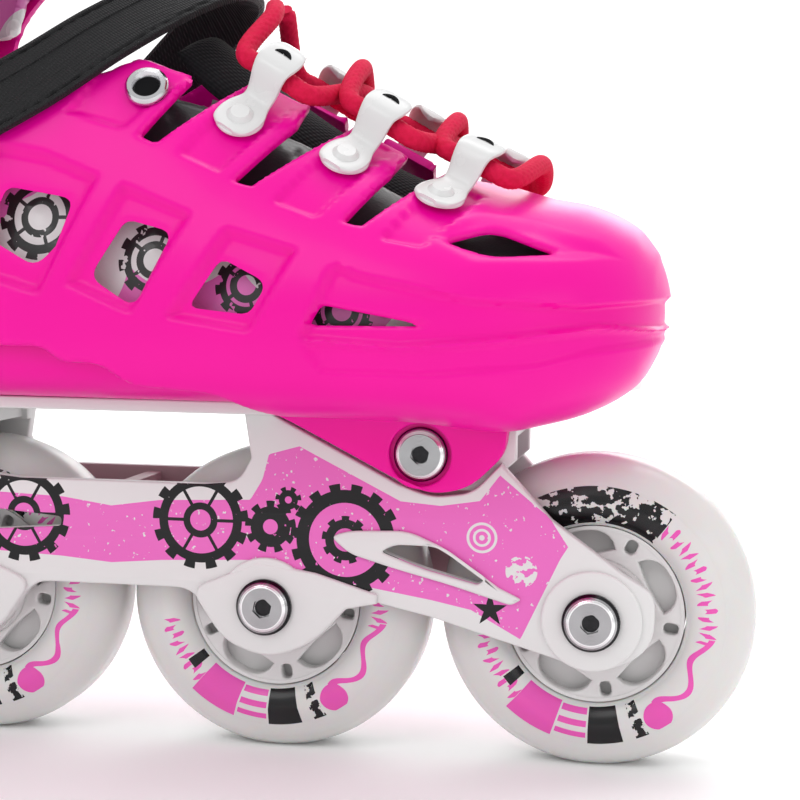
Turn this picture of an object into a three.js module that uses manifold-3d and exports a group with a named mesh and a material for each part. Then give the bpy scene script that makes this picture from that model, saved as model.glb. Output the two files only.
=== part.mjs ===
// An adjustable child's inline skate: chassis with four 70 mm wheels, a base shell, a toe shell
// that slides forward for a longer foot, a hinged cuff, liner, tongue, lace, straps and heel brake.
// Millimetres, +X to the toe, +Z up, ground at z = 0, y = 0 on the chassis's middle plane.
import * as THREE from 'three';
import { mergeVertices } from 'three/addons/utils/BufferGeometryUtils.js';
import Module from 'manifold-3d';

const wasm = await Module();
wasm.setup();

// ---- Driving dimensions ----
const WHEEL_R = 35;
const AXLE_Z = WHEEL_R;
const WHEELBASE_STEP = 73;
const FRONT_AXLE_X = 123.5;
const FRAME_MID_X = FRONT_AXLE_X - 1.5 * WHEELBASE_STEP;
const FACETS = 32;
const RAIL_OUT = 17;
const RAIL_IN = 13.6;
const SKIRT_OUT = 18.4;
const AXLE_R = 4;
const BORE_R = 4.3;
const AXLE_HEAD_R = 6.35;
const BEARING = { inner: 4.3, outer: 10.75, near: 4.7, far: 11.7 };
const BOLT_Z = 70.1;
const BOLT_OFFSET_X = 71.5;
const LUG_OUT = 18.9;
const LUG_IN = 14.3;
const LUG_RECESS = 2;
const BOLT_HEAD_R = 6;
const TOWER_OUT = 13.9;
const TOWER_IN = 10.6;
const TOWER_TOP = 78;
const PLATE_BOTTOM = 78.4;
const PLATE_TOP = 81;
const PLATE_HALF_W = 22.2;
const TOE_TIP_X = 138.5;
const TOE_REAR_X = -46;
const HEEL_X = -112;
const SHELL_MID_Z = 101;
const SHELL_T = 2.4;
const BASE_OFFSET = 2.9;
const LINER_OFFSET = 6;
const LINER_T = 3.6;
const TOE_TRAVEL = 20;
const PIVOT = new THREE.Vector3(-60, 0, 150);
const LACE_R = 2.3;
const BUTTON = new THREE.Vector3(-17, -40.5, 99);

// ---- Solid helpers ----
function solid(geometry) {
	const bare = new THREE.BufferGeometry();
	bare.setAttribute('position', geometry.getAttribute('position').clone());
	if (geometry.index) bare.setIndex(geometry.index.clone());
	const merged = mergeVertices(bare, 1e-4);
	const ids = merged.index.array;
	const pos = merged.getAttribute('position');
	const corner = (i) => new THREE.Vector3().fromBufferAttribute(pos, i);
	let kept = [];
	let volume = 0;
	for (let i = 0; i < ids.length; i += 3) {
		const [a, b, c] = [ids[i], ids[i + 1], ids[i + 2]];
		if (a === b || b === c || c === a) continue;
		kept.push(a, b, c);
		volume += corner(a).dot(corner(b).cross(corner(c)));
	}
	if (volume < 0) kept = kept.reverse();
	const vertProperties = new Float32Array(pos.array);
	return new wasm.Manifold(new wasm.Mesh({ numProp: 3, vertProperties, triVerts: new Uint32Array(kept) }));
}

function toGeometry(manifold) {
	const mesh = manifold.getMesh();
	const geometry = new THREE.BufferGeometry();
	geometry.setAttribute('position', new THREE.BufferAttribute(new Float32Array(mesh.vertProperties), 3));
	geometry.setIndex(new THREE.BufferAttribute(new Uint32Array(mesh.triVerts), 1));
	geometry.computeVertexNormals();
	return geometry;
}

const join = (...parts) => parts.reduce((sum, part) => sum.add(part));
const cut = (body, ...tools) => tools.reduce((rest, tool) => rest.subtract(tool), body);
const mirrorY = (manifold) => manifold.mirror([0, 1, 0]);
const bothSides = (manifold) => manifold.add(mirrorY(manifold));

// A path through [x, y, radius] corners, each rounded by its radius.
function trace(corners, path = new THREE.Shape()) {
	const n = corners.length;
	corners.forEach(([x, y, r = 0], i) => {
		const here = new THREE.Vector2(x, y);
		const before = new THREE.Vector2(...corners[(i + n - 1) % n]).sub(here);
		const after = new THREE.Vector2(...corners[(i + 1) % n]).sub(here);
		const reach = Math.min(r, before.length() * 0.49, after.length() * 0.49);
		const start = here.clone().add(before.setLength(reach));
		const end = here.clone().add(after.setLength(reach));
		if (i === 0) path.moveTo(start.x, start.y);
		else path.lineTo(start.x, start.y);
		if (reach > 0) path.quadraticCurveTo(x, y, end.x, end.y);
	});
	path.closePath();
	return path;
}

// A plate whose outline lies in the XZ plane, between two y values.
function sidePlate(corners, y0, y1) {
	const options = { depth: y1 - y0, bevelEnabled: false, curveSegments: 2 };
	const geometry = new THREE.ExtrudeGeometry(trace(corners), options);
	return solid(geometry.rotateX(Math.PI / 2).translate(0, y1, 0));
}

// A plate whose outline lies in the XY plane, between two z values.
function flatPlate(corners, z0, z1) {
	const options = { depth: z1 - z0, bevelEnabled: false, curveSegments: 3 };
	const geometry = new THREE.ExtrudeGeometry(trace(corners), options);
	return solid(geometry.translate(0, 0, z0));
}

function box(x0, x1, y0, y1, z0, z1) {
	const geometry = new THREE.BoxGeometry(x1 - x0, y1 - y0, z1 - z0);
	return solid(geometry.translate((x0 + x1) / 2, (y0 + y1) / 2, (z0 + z1) / 2));
}

// A cylinder along Y.
function pinY(x, z, r, y0, y1, facets = 16) {
	const geometry = new THREE.CylinderGeometry(r, r, y1 - y0, facets);
	return solid(geometry.translate(x, (y0 + y1) / 2, z));
}

// A turned body about the Y line through (x, z), from a closed profile of [radius, y] points.
function turnedY(profile, x, z, facets = 14) {
	const points = [...profile, profile[0]].map(([r, y]) => new THREE.Vector2(r, y));
	return solid(new THREE.LatheGeometry(points, facets, Math.PI / facets).translate(x, 0, z));
}

// Skin over a row of closed rings with equal point counts, capped at both ends.
function loft(rings) {
	const n = rings[0].length;
	const points = rings.flat();
	const index = [];
	for (let k = 0; k + 1 < rings.length; k++) {
		for (let i = 0; i < n; i++) {
			const [a, b] = [k * n + i, k * n + ((i + 1) % n)];
			index.push(a, b, b + n, a, b + n, a + n);
		}
	}
	for (const [k, flip] of [[0, true], [rings.length - 1, false]]) {
		const middle = new THREE.Vector3();
		rings[k].forEach((p) => middle.addScaledVector(p, 1 / n));
		points.push(middle);
		for (let i = 0; i < n; i++) {
			const [a, b] = [k * n + i, k * n + ((i + 1) % n)];
			index.push(...(flip ? [b, a, points.length - 1] : [a, b, points.length - 1]));
		}
	}
	const geometry = new THREE.BufferGeometry().setFromPoints(points);
	geometry.setIndex(index);
	return solid(geometry);
}

// Smooth value at x through [x, value] knots.
function along(x, knots) {
	if (x <= knots[0][0]) return knots[0][1];
	const last = knots.length - 1;
	if (x >= knots[last][0]) return knots[last][1];
	const k = knots.findIndex(([at]) => at > x) - 1;
	const slope = (i) => {
		const [a, b] = [knots[Math.max(i - 1, 0)], knots[Math.min(i + 1, last)]];
		return (b[1] - a[1]) / (b[0] - a[0]);
	};
	const width = knots[k + 1][0] - knots[k][0];
	const s = (x - knots[k][0]) / width;
	const ease = 3 * s ** 2 - 2 * s ** 3;
	const level = (1 - ease) * knots[k][1] + ease * knots[k + 1][1];
	const leave = (s ** 3 - 2 * s ** 2 + s) * width * slope(k);
	const arrive = (s ** 3 - s ** 2) * width * slope(k + 1);
	return level + leave + arrive;
}

// ---- Boot form: half width, top and bottom of the closed outer form along X ----
const HALF_WIDTH = [[-112, 36], [-60, 38.5], [-42, 40.5], [-10, 43], [20, 45.5], [50, 48], [74, 48.5]];
const TOP = [[-112, 225], [-42, 206], [-10, 192], [26.5, 178], [47.5, 162], [70.7, 146.8],
	[91.4, 133.5], [110, 127], [122, 124.5], [131, 120], [136, 114]];
const CROWN_POWER = [[48, 1.6], [70, 1.7], [91, 1.9], [110, 2.2]];
const BILGE_POWER = 4;
const HOLLOW_POWER = 7;
const BOTTOM = [[48, 78], [85, 77.4], [104, 75.7], [112, 77], [123, 80.3], [132, 86], [136, 93]];
const NOSE_FROM = 74;
const HEEL_FROM = -62;

function noseFactor(x, tip, from) {
	const s = Math.max(0, (x - from) / (tip - from));
	return (1 - Math.min(s, 1) ** 2.6) ** (1 / 2.2);
}

// One closed YZ section: a fuller curve below the widest line than above it.
function section(x, halfWidth, bottom, top, lowPower, count) {
	const ring = [];
	for (let i = 0; i < count; i++) {
		const a = (i / count) * 2 * Math.PI;
		const power = Math.sin(a) < 0 ? lowPower : along(x, CROWN_POWER);
		const y = Math.sign(Math.cos(a)) * Math.abs(Math.cos(a)) ** (2 / power) * halfWidth;
		const rise = Math.abs(Math.sin(a)) ** (2 / power);
		const reach = (Math.sin(a) < 0 ? bottom : top) - SHELL_MID_Z;
		ring.push(new THREE.Vector3(x, y, SHELL_MID_Z + rise * reach));
	}
	return ring;
}

// The boot form shrunk by an inset, open behind.
function footForm(inset, { floor = null, rear = TOE_REAR_X, power = BILGE_POWER } = {}) {
	const tip = TOE_TIP_X - inset;
	const noseLength = TOE_TIP_X - NOSE_FROM;
	const nose = [0, 16, 29, 40, 49, 56, 61, 64.3].map((d) => NOSE_FROM + d * (noseLength - inset) / noseLength);
	return loft([rear, -15, 15, 45, ...nose].map((x) => {
		const slim = noseFactor(x, tip, NOSE_FROM);
		const half = (along(x, HALF_WIDTH) - inset) * slim;
		const top = along(x + inset, TOP) - inset;
		const low = floor ?? along(x + inset, BOTTOM) + inset;
		const squeeze = Math.max(0, Math.min(1, (tip - x) / 3)) ** 0.5;
		const middle = (z) => SHELL_MID_Z + (z - SHELL_MID_Z) * squeeze;
		return section(x, half, middle(low), middle(top), power, 22);
	}));
}

// The heel form: rounded behind, sides rising to the ankle.
function heelForm(inset, { floor = 80.6, front = 48, power = BILGE_POWER } = {}) {
	const back = HEEL_X + inset;
	const stations = [0.05, 3, 9, 20, 38, 70, 115, front - HEEL_X];
	return loft(stations.map((d) => {
		const x = back + d * (front - back) / (front - HEEL_X);
		const s = Math.max(0, (HEEL_FROM - x) / (HEEL_FROM - back));
		const slim = (1 - Math.min(s, 1) ** 2.4) ** (1 / 2.1);
		const half = (along(x - TOE_TRAVEL, HALF_WIDTH) - BASE_OFFSET - inset) * slim;
		return section(x, half, floor, along(x, TOP) - BASE_OFFSET - inset, power, 20);
	}));
}

// ---- Chassis ----
const acrossY = (corners) => corners.map(([x, y, r]) => [x, -y, r]).reverse();
const mirrorX = (corners) => corners.map(([x, z, r]) => [2 * FRAME_MID_X - x, z, r]).reverse();
const LUG = [[46.1, 81.2], [58.1, 75.7], [80.8, 64.2, 5], [88, 61.4, 6], [96.4, 63, 4], [104, 70.5, 3],
	[105.4, 81.2]];
const RAIL_HALF = [[36, 61.8], [44, 62.6, 4], [46.8, 68], [45.2, 78], [51.5, 78], [57.6, 74.9], [80.4, 63.2],
	[88, 60.6, 3], [97, 61.8, 3], [103.2, 68.4], [114.4, 56.4], [130.1, 45.1], [137, 41, 3], [137, 29, 7],
	[126, 23, 7], [88, 33.9], [76, 36.5], [69, 35], [61, 26.5, 6], [51, 22.8, 6], [41, 26.5, 4],
	[33, 38, 4]];
const SKIRT_HALF = [[48.9, 44.8], [62, 42.8], [76, 38.6], [76, 36.5], [69, 35],
	[61, 26.5, 6], [51, 22.8, 6], [41, 26.5, 4], [33, 38, 4]];
const ARM_WINDOW = [[76.8, 48.2], [80, 49.9], [89.7, 49.8], [100, 43], [98.6, 41.7], [85.9, 44.8]];
const MID_SLOT = [[-36, 52.2], [-33, 53.6], [-14, 54.4], [1.8, 53.1], [1.8, 51], [-14, 49.8]];
const TOWER = [[45.6, TOWER_TOP], [106, TOWER_TOP], [106, 68.8], [99, 62.5], [92, 57], [80, 59],
	[70, 67.8], [58, 72.6], [45.6, 72.6]];
const AXLE_XS = [0, 1, 2, 3].map((i) => FRONT_AXLE_X - i * WHEELBASE_STEP);
const BOLT_XS = [FRAME_MID_X + BOLT_OFFSET_X, FRAME_MID_X - BOLT_OFFSET_X];

function chassis() {
	const windows = [ARM_WINDOW, mirrorX(ARM_WINDOW), MID_SLOT].map((outline) => sidePlate(outline, -30, 0));
	const rail = cut(sidePlate([...RAIL_HALF, ...mirrorX(RAIL_HALF)], -RAIL_OUT, -RAIL_IN), ...windows);
	const skirt = sidePlate([...SKIRT_HALF, ...mirrorX(SKIRT_HALF)], -SKIRT_OUT, -RAIL_OUT + 0.4);
	const towers = [TOWER, mirrorX(TOWER)].map((outline) => sidePlate(outline, -TOWER_OUT, -TOWER_IN));
	const endBosses = [AXLE_XS[0], AXLE_XS[3]].map((x) => pinY(x, AXLE_Z, 11, -SKIRT_OUT, -RAIL_OUT + 0.4, 20));
	const innerBosses = AXLE_XS.map((x) => pinY(x, AXLE_Z, 6.5, -RAIL_IN - 0.2, -12, 12));
	const side = join(rail, skirt, ...towers, ...endBosses, ...innerBosses);
	const webs = [[47, 105], [2 * FRAME_MID_X - 105, 2 * FRAME_MID_X - 47]].map(([a, b]) => {
		return box(a, b, -TOWER_IN - 0.2, TOWER_IN + 0.2, 73.2, 76.4);
	});
	const bridge = box(FRAME_MID_X - 1.8, FRAME_MID_X + 1.8, -RAIL_IN - 0.2, RAIL_IN + 0.2, 46, 60.5);
	const bores = [...AXLE_XS.map((x) => [x, AXLE_Z]), ...BOLT_XS.map((x) => [x, BOLT_Z])];
	const drills = bores.map(([x, z]) => pinY(x, z, BORE_R + 0.1, -30, 30));
	return cut(join(bothSides(side), ...webs, bridge), ...drills);
}

// ---- Wheels ----
function tyre(x) {
	const crown = WHEEL_R / Math.cos(Math.PI / FACETS);
	const half = [[crown, 3], [31.4, 9.4], [25, 12], [20, 9.4]];
	const mirrored = half.map(([r, y]) => [r, -y]).reverse();
	return turnedY([...half, ...mirrored], x, AXLE_Z, FACETS);
}

function hub(x) {
	const half = [[19.6, 9.1], [17, 5], [13, 5], [12, 11.7], [11.15, 11.7], [11.15, 4.4], [9.2, 4.4]];
	const body = turnedY([...half, ...half.map(([r, y]) => [r, -y]).reverse()], x, AXLE_Z, 15);
	const windows = [0, 1, 2, 3, 4].map((i) => {
		const window = new THREE.Shape();
		window.absarc(0, 0, 17.2, -0.42, 0.42, false);
		window.absarc(0, 0, 13, 0.3, -0.3, true);
		const geometry = new THREE.ExtrudeGeometry(window, { depth: 12, bevelEnabled: false, curveSegments: 2 });
		geometry.rotateX(Math.PI / 2).translate(0, 6, 0).rotateY(-(27 + 72 * i) * Math.PI / 180);
		return solid(geometry.translate(x, 0, AXLE_Z));
	});
	return cut(body, ...windows);
}

function bearing(x, side) {
	const { inner, outer, near, far } = BEARING;
	const profile = [[inner, near], [outer, near], [outer, far], [inner, far]];
	return turnedY(profile.map(([r, y]) => [r, y * side]), x, AXLE_Z, 16);
}

const bearingSpacer = (x) => turnedY([[BORE_R, -4.4], [6, -4.4], [6, 4.4], [BORE_R, 4.4]], x, AXLE_Z, 12);

const HEAD_H = 2.2;
const SOCKET_R = 2.2;
const THREAD_R = 2.5;

// Sleeve with the female thread, its head on +Y and resting at y = seat, with a hexagon socket.
function sleeve(x, z, seat, head) {
	const room = THREAD_R + 0.4;
	const profile = [[room, -16], [AXLE_R, -16], [AXLE_R, seat], [head, seat], [head - 0.6, seat + HEAD_H],
		[0, seat + HEAD_H], [0, 5], [room, 5]];
	return cut(turnedY(profile, x, z), pinY(x, z, SOCKET_R, seat + 0.6, seat + 4, 6));
}

// The screw that threads into the sleeve, its head on -Y.
function screw(x, z, seat, head) {
	const profile = [[0, -seat - HEAD_H], [head - 0.6, -seat - HEAD_H], [head, -seat], [THREAD_R, -seat],
		[THREAD_R, 4.4], [0, 4.4]];
	return cut(turnedY(profile, x, z), pinY(x, z, SOCKET_R, -seat - 4, -seat - 0.6, 6));
}

// ---- Shells ----
const SHELL_WINDOWS = [
	[[-6, 117], [-2, 128], [13.8, 125.4], [10.3, 115], [5.9, 110.6]],
	[[26, 121.1], [36.7, 118.5], [28.8, 102.2], [18.5, 108.6]],
	[[47.7, 113.2], [58.1, 108.1], [54.3, 101.1], [41, 102.5]],
	[[69.8, 103.6], [92.1, 99.3], [67.4, 99.1]],
];
// Gaps between the lacing fingers, from their closed lower end up through the throat edge.
const FINGER_GAPS = [
	[[27.4, 138.6], [31, 137], [47, 150.4], [62, 172], [35, 172], [36.4, 151]],
	[[48.8, 129], [52.6, 128], [69, 140.4], [86, 160], [64, 160], [59.6, 141.4]],
	[[73, 120.7], [76.6, 119.8], [88.6, 130.2], [104, 148], [88, 148], [80.6, 131]],
];
const TOE_SLOT = [[93.9, 117.2], [102.3, 119.9], [106, 119.3], [117, 115], [104.5, 114.2]];
const THROAT = [[-60, -17], [20, -18.6], [84, -18.6, 10], [99, -12, 12], [101, 0, 12], [99, 12, 12],
	[84, 18.6, 10], [20, 18.6], [-60, 17]];
const TOE_LOWER_EDGE = [[-60, 93.6], [8, 93.4, 2], [12.5, 90, 2], [21.2, 90, 3], [27.5, 85.2, 4], [46, 83.9, 3],
	[56, 78.6], [56, 60], [-60, 60]];
const TOE_UPPER_EDGE = [[-60, 124], [-12, 139.5, 6], [24.5, 156.8, 2], [38, 151.6], [38, 230], [-60, 230]];

function toeShell() {
	const outer = footForm(0);
	const cavity = footForm(SHELL_T, { floor: 84, rear: -50, power: HOLLOW_POWER });
	const keel = box(-60, 108, -PLATE_HALF_W - 0.4, PLATE_HALF_W + 0.4, 60, PLATE_TOP + 0.4);
	const behindFloor = box(-60, 50, -60, 60, 60, 90);
	const openings = [...SHELL_WINDOWS, ...FINGER_GAPS, TOE_SLOT].map((outline) => {
		return bothSides(sidePlate(outline, -70, -12));
	});
	const [slotRear, slotFront] = [BUTTON.x - 5 - TOE_TRAVEL, BUTTON.x + 4];
	const buttonSlot = sidePlate([[slotRear, BUTTON.z - 3.4, 3], [slotRear, BUTTON.z + 3.4, 3],
		[slotFront, BUTTON.z + 3.4, 3], [slotFront, BUTTON.z - 3.4, 3]], -70, -12);
	const sole = cut(behindFloor, sideWalls());
	return cut(outer, cavity, keel, sole, flatPlate(THROAT, 112, 240), ...openings, buttonSlot,
		sidePlate(TOE_LOWER_EDGE, -70, 70), sidePlate(TOE_UPPER_EDGE, -70, 70));
}

// The toe shell's side walls, kept where the floor behind them is taken away.
function sideWalls() {
	return cut(box(-60, 60, -70, 70, 60, 95), footForm(SHELL_T, { rear: -50 }));
}

const HEEL_UPPER_EDGE = [[-130, 155], [-74, 155, 8], [-68, 163, 5], [-52, 163, 5], [-44, 152, 8], [-22, 136, 6],
	[-10.5, 130, 3], [-10, 100, 4], [30, 97, 6], [60, 90], [60, 240], [-130, 240]];

function baseShell() {
	const hollow = heelForm(SHELL_T, { floor: 83.4, front: 60, power: HOLLOW_POWER });
	const hull = cut(heelForm(0), hollow, sidePlate(HEEL_UPPER_EDGE, -70, 70));
	const edge = [[-98, -14, 14], [-60, -PLATE_HALF_W, 8], [100, -PLATE_HALF_W, 8], [107.5, -14, 8]];
	const plate = flatPlate([...edge, ...acrossY(edge)], PLATE_BOTTOM, PLATE_TOP);
	const lugs = [LUG, mirrorX(LUG)].map((outline) => bothSides(sidePlate(outline, -LUG_OUT, -LUG_IN)));
	const bores = BOLT_XS.map((x) => join(pinY(x, BOLT_Z, BORE_R + 0.1, -30, 30),
		bothSides(pinY(x, BOLT_Z, BOLT_HEAD_R + 0.9, -LUG_OUT - 2, 0.2 + LUG_RECESS - LUG_OUT, 20))));
	const trimmed = cut(join(...lugs), box(-100, 120, -30, 30, PLATE_TOP - 0.2, 90));
	const pivots = pinY(PIVOT.x, PIVOT.z, 4.4, -60, 60);
	const button = pinY(BUTTON.x, BUTTON.z, 3.4, -60, -20);
	return cut(join(hull, plate, trimmed), ...bores, pivots, button);
}

// Horizontal ring of the cuff family at height z, pushed out by `out`.
function cuffRing(z, out, count = 28) {
	const middle = along(z, [[120, -62], [160, -61], [200, -56], [262, -50]]);
	const long = along(z, [[120, 56], [160, 55], [200, 52], [262, 54]]) + out;
	const half = along(z, [[120, 41.8], [160, 41.8], [200, 42.5], [262, 45]]) + out;
	return Array.from({ length: count }, (_, i) => {
		const a = (i / count) * 2 * Math.PI;
		const x = Math.sign(Math.cos(a)) * Math.abs(Math.cos(a)) ** 0.86 * long;
		const y = Math.sign(Math.sin(a)) * Math.abs(Math.sin(a)) ** 0.86 * half;
		return new THREE.Vector3(middle + x, y, z);
	});
}
const cuffForm = (out, low, high) => {
	const levels = [0, 0.33, 0.67, 1].map((s) => low + s * (high - low));
	return loft(levels.map((z) => cuffRing(z, out)));
};

const CUFF_LOWER_EDGE = [[-130, 152], [-96, 146, 8], [-72, 138, 6], [-48, 138, 6], [-30, 157, 8], [20, 178],
	[20, 100], [-130, 100]];
const CUFF_FRONT = [[-34, 120], [-30, 170, 10], [-12, 182, 8], [-14, 222, 8], [-34, 250, 8], [-34, 270], [40, 270],
	[40, 120]];

function cuff() {
	const wall = cut(cuffForm(0, 130, 246), cuffForm(-SHELL_T, 129, 248));
	const pivots = pinY(PIVOT.x, PIVOT.z, 4.4, -60, 60);
	return cut(wall, sidePlate(CUFF_LOWER_EDGE, -70, 70), sidePlate(CUFF_FRONT, -70, 70), pivots);
}

function cuffRivet(side) {
	const profile = [[0, 33.6], [4.1, 33.6], [4.1, 41.9], [7, 41.9], [7, 42.6], [5.4, 43.6], [0, 43.6]];
	return turnedY(profile.map(([r, y]) => [r, y * side]), PIVOT.x, PIVOT.z, 24);
}

// ---- Soft parts ----
const LINER_TOP_EDGE = [[-130, 154], [PIVOT.x, 158], [-18, 148], [24, 150], [38, 146], [38, 240], [-130, 240]];

// The whole foot from heel to toe in one skin, inside both shells.
function sockForm(inset, floor) {
	const back = HEEL_X + inset - BASE_OFFSET;
	const tip = TOE_TIP_X - inset;
	const heel = [0.1, 3, 9, 20, 38, 66, 100, 135].map((d) => back + d);
	const toe = [46, 36, 26, 17, 9, 3.5, 0.3].map((d) => tip - d);
	return loft([...heel, 60, 76, ...toe].map((x) => {
		const s = Math.max(0, (HEEL_FROM - x) / (HEEL_FROM - back));
		const slim = (1 - s ** 2.4) ** (1 / 2.1) * noseFactor(x, tip, NOSE_FROM);
		const half = (along(x - TOE_TRAVEL, HALF_WIDTH) - inset) * slim;
		return section(x, half, floor, along(x + inset, TOP) - inset, HOLLOW_POWER, 16);
	}));
}

function linerFoot() {
	const throat = flatPlate([[-60, -17], [84, -16], [98, -10], [98, 10], [84, 16], [-60, 17]], 105, 240);
	const dimple = pinY(BUTTON.x, BUTTON.z, 4, BUTTON.y - 4, BUTTON.y + 10, 8);
	const wall = cut(sockForm(LINER_OFFSET + 0.3, 84.4), sockForm(LINER_OFFSET + LINER_T, 86.2));
	return cut(wall, throat, sidePlate(LINER_TOP_EDGE, -70, 70), dimple);
}

function linerCollar() {
	const wall = cut(cuffForm(-SHELL_T - 1.2, 150, 262), cuffForm(-SHELL_T - 6.6, 148, 264));
	const front = [[-30, 120], [-26, 172, 10], [-16, 186, 8], [-18, 226, 8], [-30, 246, 8], [-34, 270], [40, 270],
		[40, 120]];
	const below = [[-130, 165], [-30, 165], [20, 176], [20, 120], [-130, 120]];
	return cut(wall, sidePlate(front, -70, 70), sidePlate(below, -70, 70));
}

// A padded strip swept along a middle line: each station is [x, z, half width, droop, thickness].
function tongueStrip(stations, count = 10) {
	return loft(stations.map(([x, z, half, droop, thick], k) => {
		const [before, after] = [stations[Math.max(k - 1, 0)], stations[Math.min(k + 1, stations.length - 1)]];
		const run = new THREE.Vector2(after[0] - before[0], after[1] - before[1]).normalize();
		const out = new THREE.Vector2(run.y, -run.x);
		const ring = [];
		for (let i = 0; i <= count; i++) {
			const s = (i / count) * 2 - 1;
			const d = -droop * s * s + thick * 0.5 * (1 - s ** 4) ** 0.5;
			ring.push(new THREE.Vector3(x + out.x * d, half * s, z + out.y * d));
		}
		for (let i = count - 1; i > 0; i--) {
			const s = (i / count) * 2 - 1;
			const d = -droop * s * s - thick * 0.5 * (1 - s ** 4) ** 0.5;
			ring.push(new THREE.Vector3(x + out.x * d, half * s, z + out.y * d));
		}
		return ring;
	}));
}
const tongueLower = () => tongueStrip([[96, 126, 9, 3, 4], [90, 127.6, 12, 4, 6], [76, 133.6, 12, 5, 7],
	[62, 142.2, 12.5, 5, 7], [50, 150.6, 13, 5, 7], [40, 158.5, 14, 5, 7], [33, 164, 13, 5, 5]].reverse());
const tongueUpper = () => tongueStrip([[12, 186, 15, 5, 6], [3, 196, 18, 6, 8], [-3, 212, 20, 7, 8],
	[-6, 230, 22, 7, 8], [-6, 248, 22, 7, 8], [-3, 262, 21, 6, 7], [2, 269, 17, 5, 5]].reverse());

function insole() {
	const edge = [[-94, -14, 10], [-60, -22, 20], [0, -26, 20], [58, -29, 20], [96, -24, 20], [114, -10, 10]];
	return flatPlate([...edge, ...acrossY(edge)], 87.2, 89.8);
}

// ---- Lacing ----
// The point and outward direction of the toe shell's outer form at (x, y).
function onShell(x, y) {
	const height = (px, py) => {
		const power = along(px, CROWN_POWER);
		const across = (Math.abs(py) / along(px, HALF_WIDTH)) ** power;
		return SHELL_MID_Z + (along(px, TOP) - SHELL_MID_Z) * (1 - across) ** (1 / power);
	};
	const slopeX = height(x + 0.5, y) - height(x - 0.5, y);
	const slopeY = height(x, y + 0.5) - height(x, y - 0.5);
	const out = new THREE.Vector3(-slopeX, -slopeY, 1).normalize();
	return { point: new THREE.Vector3(x, y, height(x, y)), out };
}

const HOOK_LIFT = 0.6;
const HOOKS = [[48.4, -28.6], [71.4, -28.6], [91.9, -28.8]].map(([x, y]) => {
	const { point, out } = onShell(x, y);
	const run = new THREE.Vector3(0.5, 0.6, 0.62);
	run.addScaledVector(out, -run.dot(out)).normalize();
	return { point, out, run, across: new THREE.Vector3().crossVectors(run, out) };
});

// A folded loop riveted to a finger: seen from the side, a flat foot and a raised tunnel for the lace.
function hook({ point, out, run, across }) {
	const shape = trace([[-4.8, 0], [16.2, 0], [16.2, 7.4, 1.5], [6.4, 7.4, 1.2], [4.6, 2.4], [-4.8, 2.4]]);
	shape.holes = [trace([[6.9, 1], [15.3, 1], [15.3, 6.6], [7.6, 6.6]], new THREE.Path())];
	const geometry = new THREE.ExtrudeGeometry(shape, { depth: 8.6, bevelEnabled: false, curveSegments: 2 });
	geometry.translate(0, 0, -4.3);
	const frame = new THREE.Matrix4().makeBasis(run, out, across);
	frame.setPosition(point.clone().addScaledVector(out, HOOK_LIFT));
	return solid(geometry.applyMatrix4(frame));
}

const NEAR = -1;
const FAR = 1;

// The lace's points in a hook's tunnel, passed towards the toe (1) or the heel (-1).
function through(index, side, sign) {
	const { point, out, run, across } = HOOKS[index];
	const toeward = Math.sign(across.x) * sign;
	return [-8.5, -3.5, 3.5, 8.5].map((d) => {
		const at = point.clone().addScaledVector(run, 10.3).addScaledVector(out, HOOK_LIFT + 3.8);
		at.addScaledVector(across, d * toeward);
		at.y *= -side;
		return at;
	});
}

function lace() {
	const overLow = new THREE.Vector3(90, 0, 143.6);
	const underLow = new THREE.Vector3(90, 0, 138);
	const overHigh = new THREE.Vector3(68, 0, 155.6);
	const underHigh = new THREE.Vector3(68, 0, 150);
	const points = [
		new THREE.Vector3(47, 2, 170), new THREE.Vector3(49, -8, 166.5),
		...through(0, NEAR, 1), underHigh, ...through(1, FAR, 1), overLow,
		...through(2, NEAR, 1), new THREE.Vector3(109, 0, 134), ...through(2, FAR, -1), underLow,
		...through(1, NEAR, -1), overHigh, ...through(0, FAR, -1), new THREE.Vector3(47.5, 9, 170.5),
	];
	const route = new THREE.CatmullRomCurve3(points, false, 'centripetal');
	const round = new THREE.Shape().absarc(0, 0, LACE_R, 0, 2 * Math.PI, false);
	return solid(new THREE.ExtrudeGeometry(round, { extrudePath: route, steps: 72, curveSegments: 4 }));
}

function eyelet(side) {
	const profile = [[3.2, 0.4], [6.3, 0.4], [6.1, 1.4], [4.6, 2], [3.2, 1.2]];
	const points = [...profile, profile[0]].map(([r, h]) => new THREE.Vector2(r, h));
	const geometry = new THREE.LatheGeometry(points, 14);
	const { point, out } = onShell(27.4, 31 * side);
	geometry.applyQuaternion(new THREE.Quaternion().setFromUnitVectors(new THREE.Vector3(0, 1, 0), out));
	return solid(geometry.translate(point.x, point.y, point.z));
}

// ---- Straps, buckle, button ----
// A flat band through [x, y, z] middle points; its width lies across the run and the outward way.
function band(points, outward, width, thick) {
	const middle = points.map((p) => new THREE.Vector3(...p));
	return loft(middle.map((p, k) => {
		const [before, after] = [middle[Math.max(k - 1, 0)], middle[Math.min(k + 1, middle.length - 1)]];
		const run = after.clone().sub(before).normalize();
		const out = outward(p);
		out.addScaledVector(run, -out.dot(run)).normalize();
		const wide = new THREE.Vector3().crossVectors(run, out);
		return [[1, 1], [-1, 1], [-1, -1], [1, -1]].map(([a, b]) => {
			return p.clone().addScaledVector(wide, a * width / 2).addScaledVector(out, b * thick / 2);
		});
	}));
}
const arch = (half) => [...half, ...half.slice(0, -1).reverse().map(([x, y, z]) => [x, -y, z])];

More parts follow.
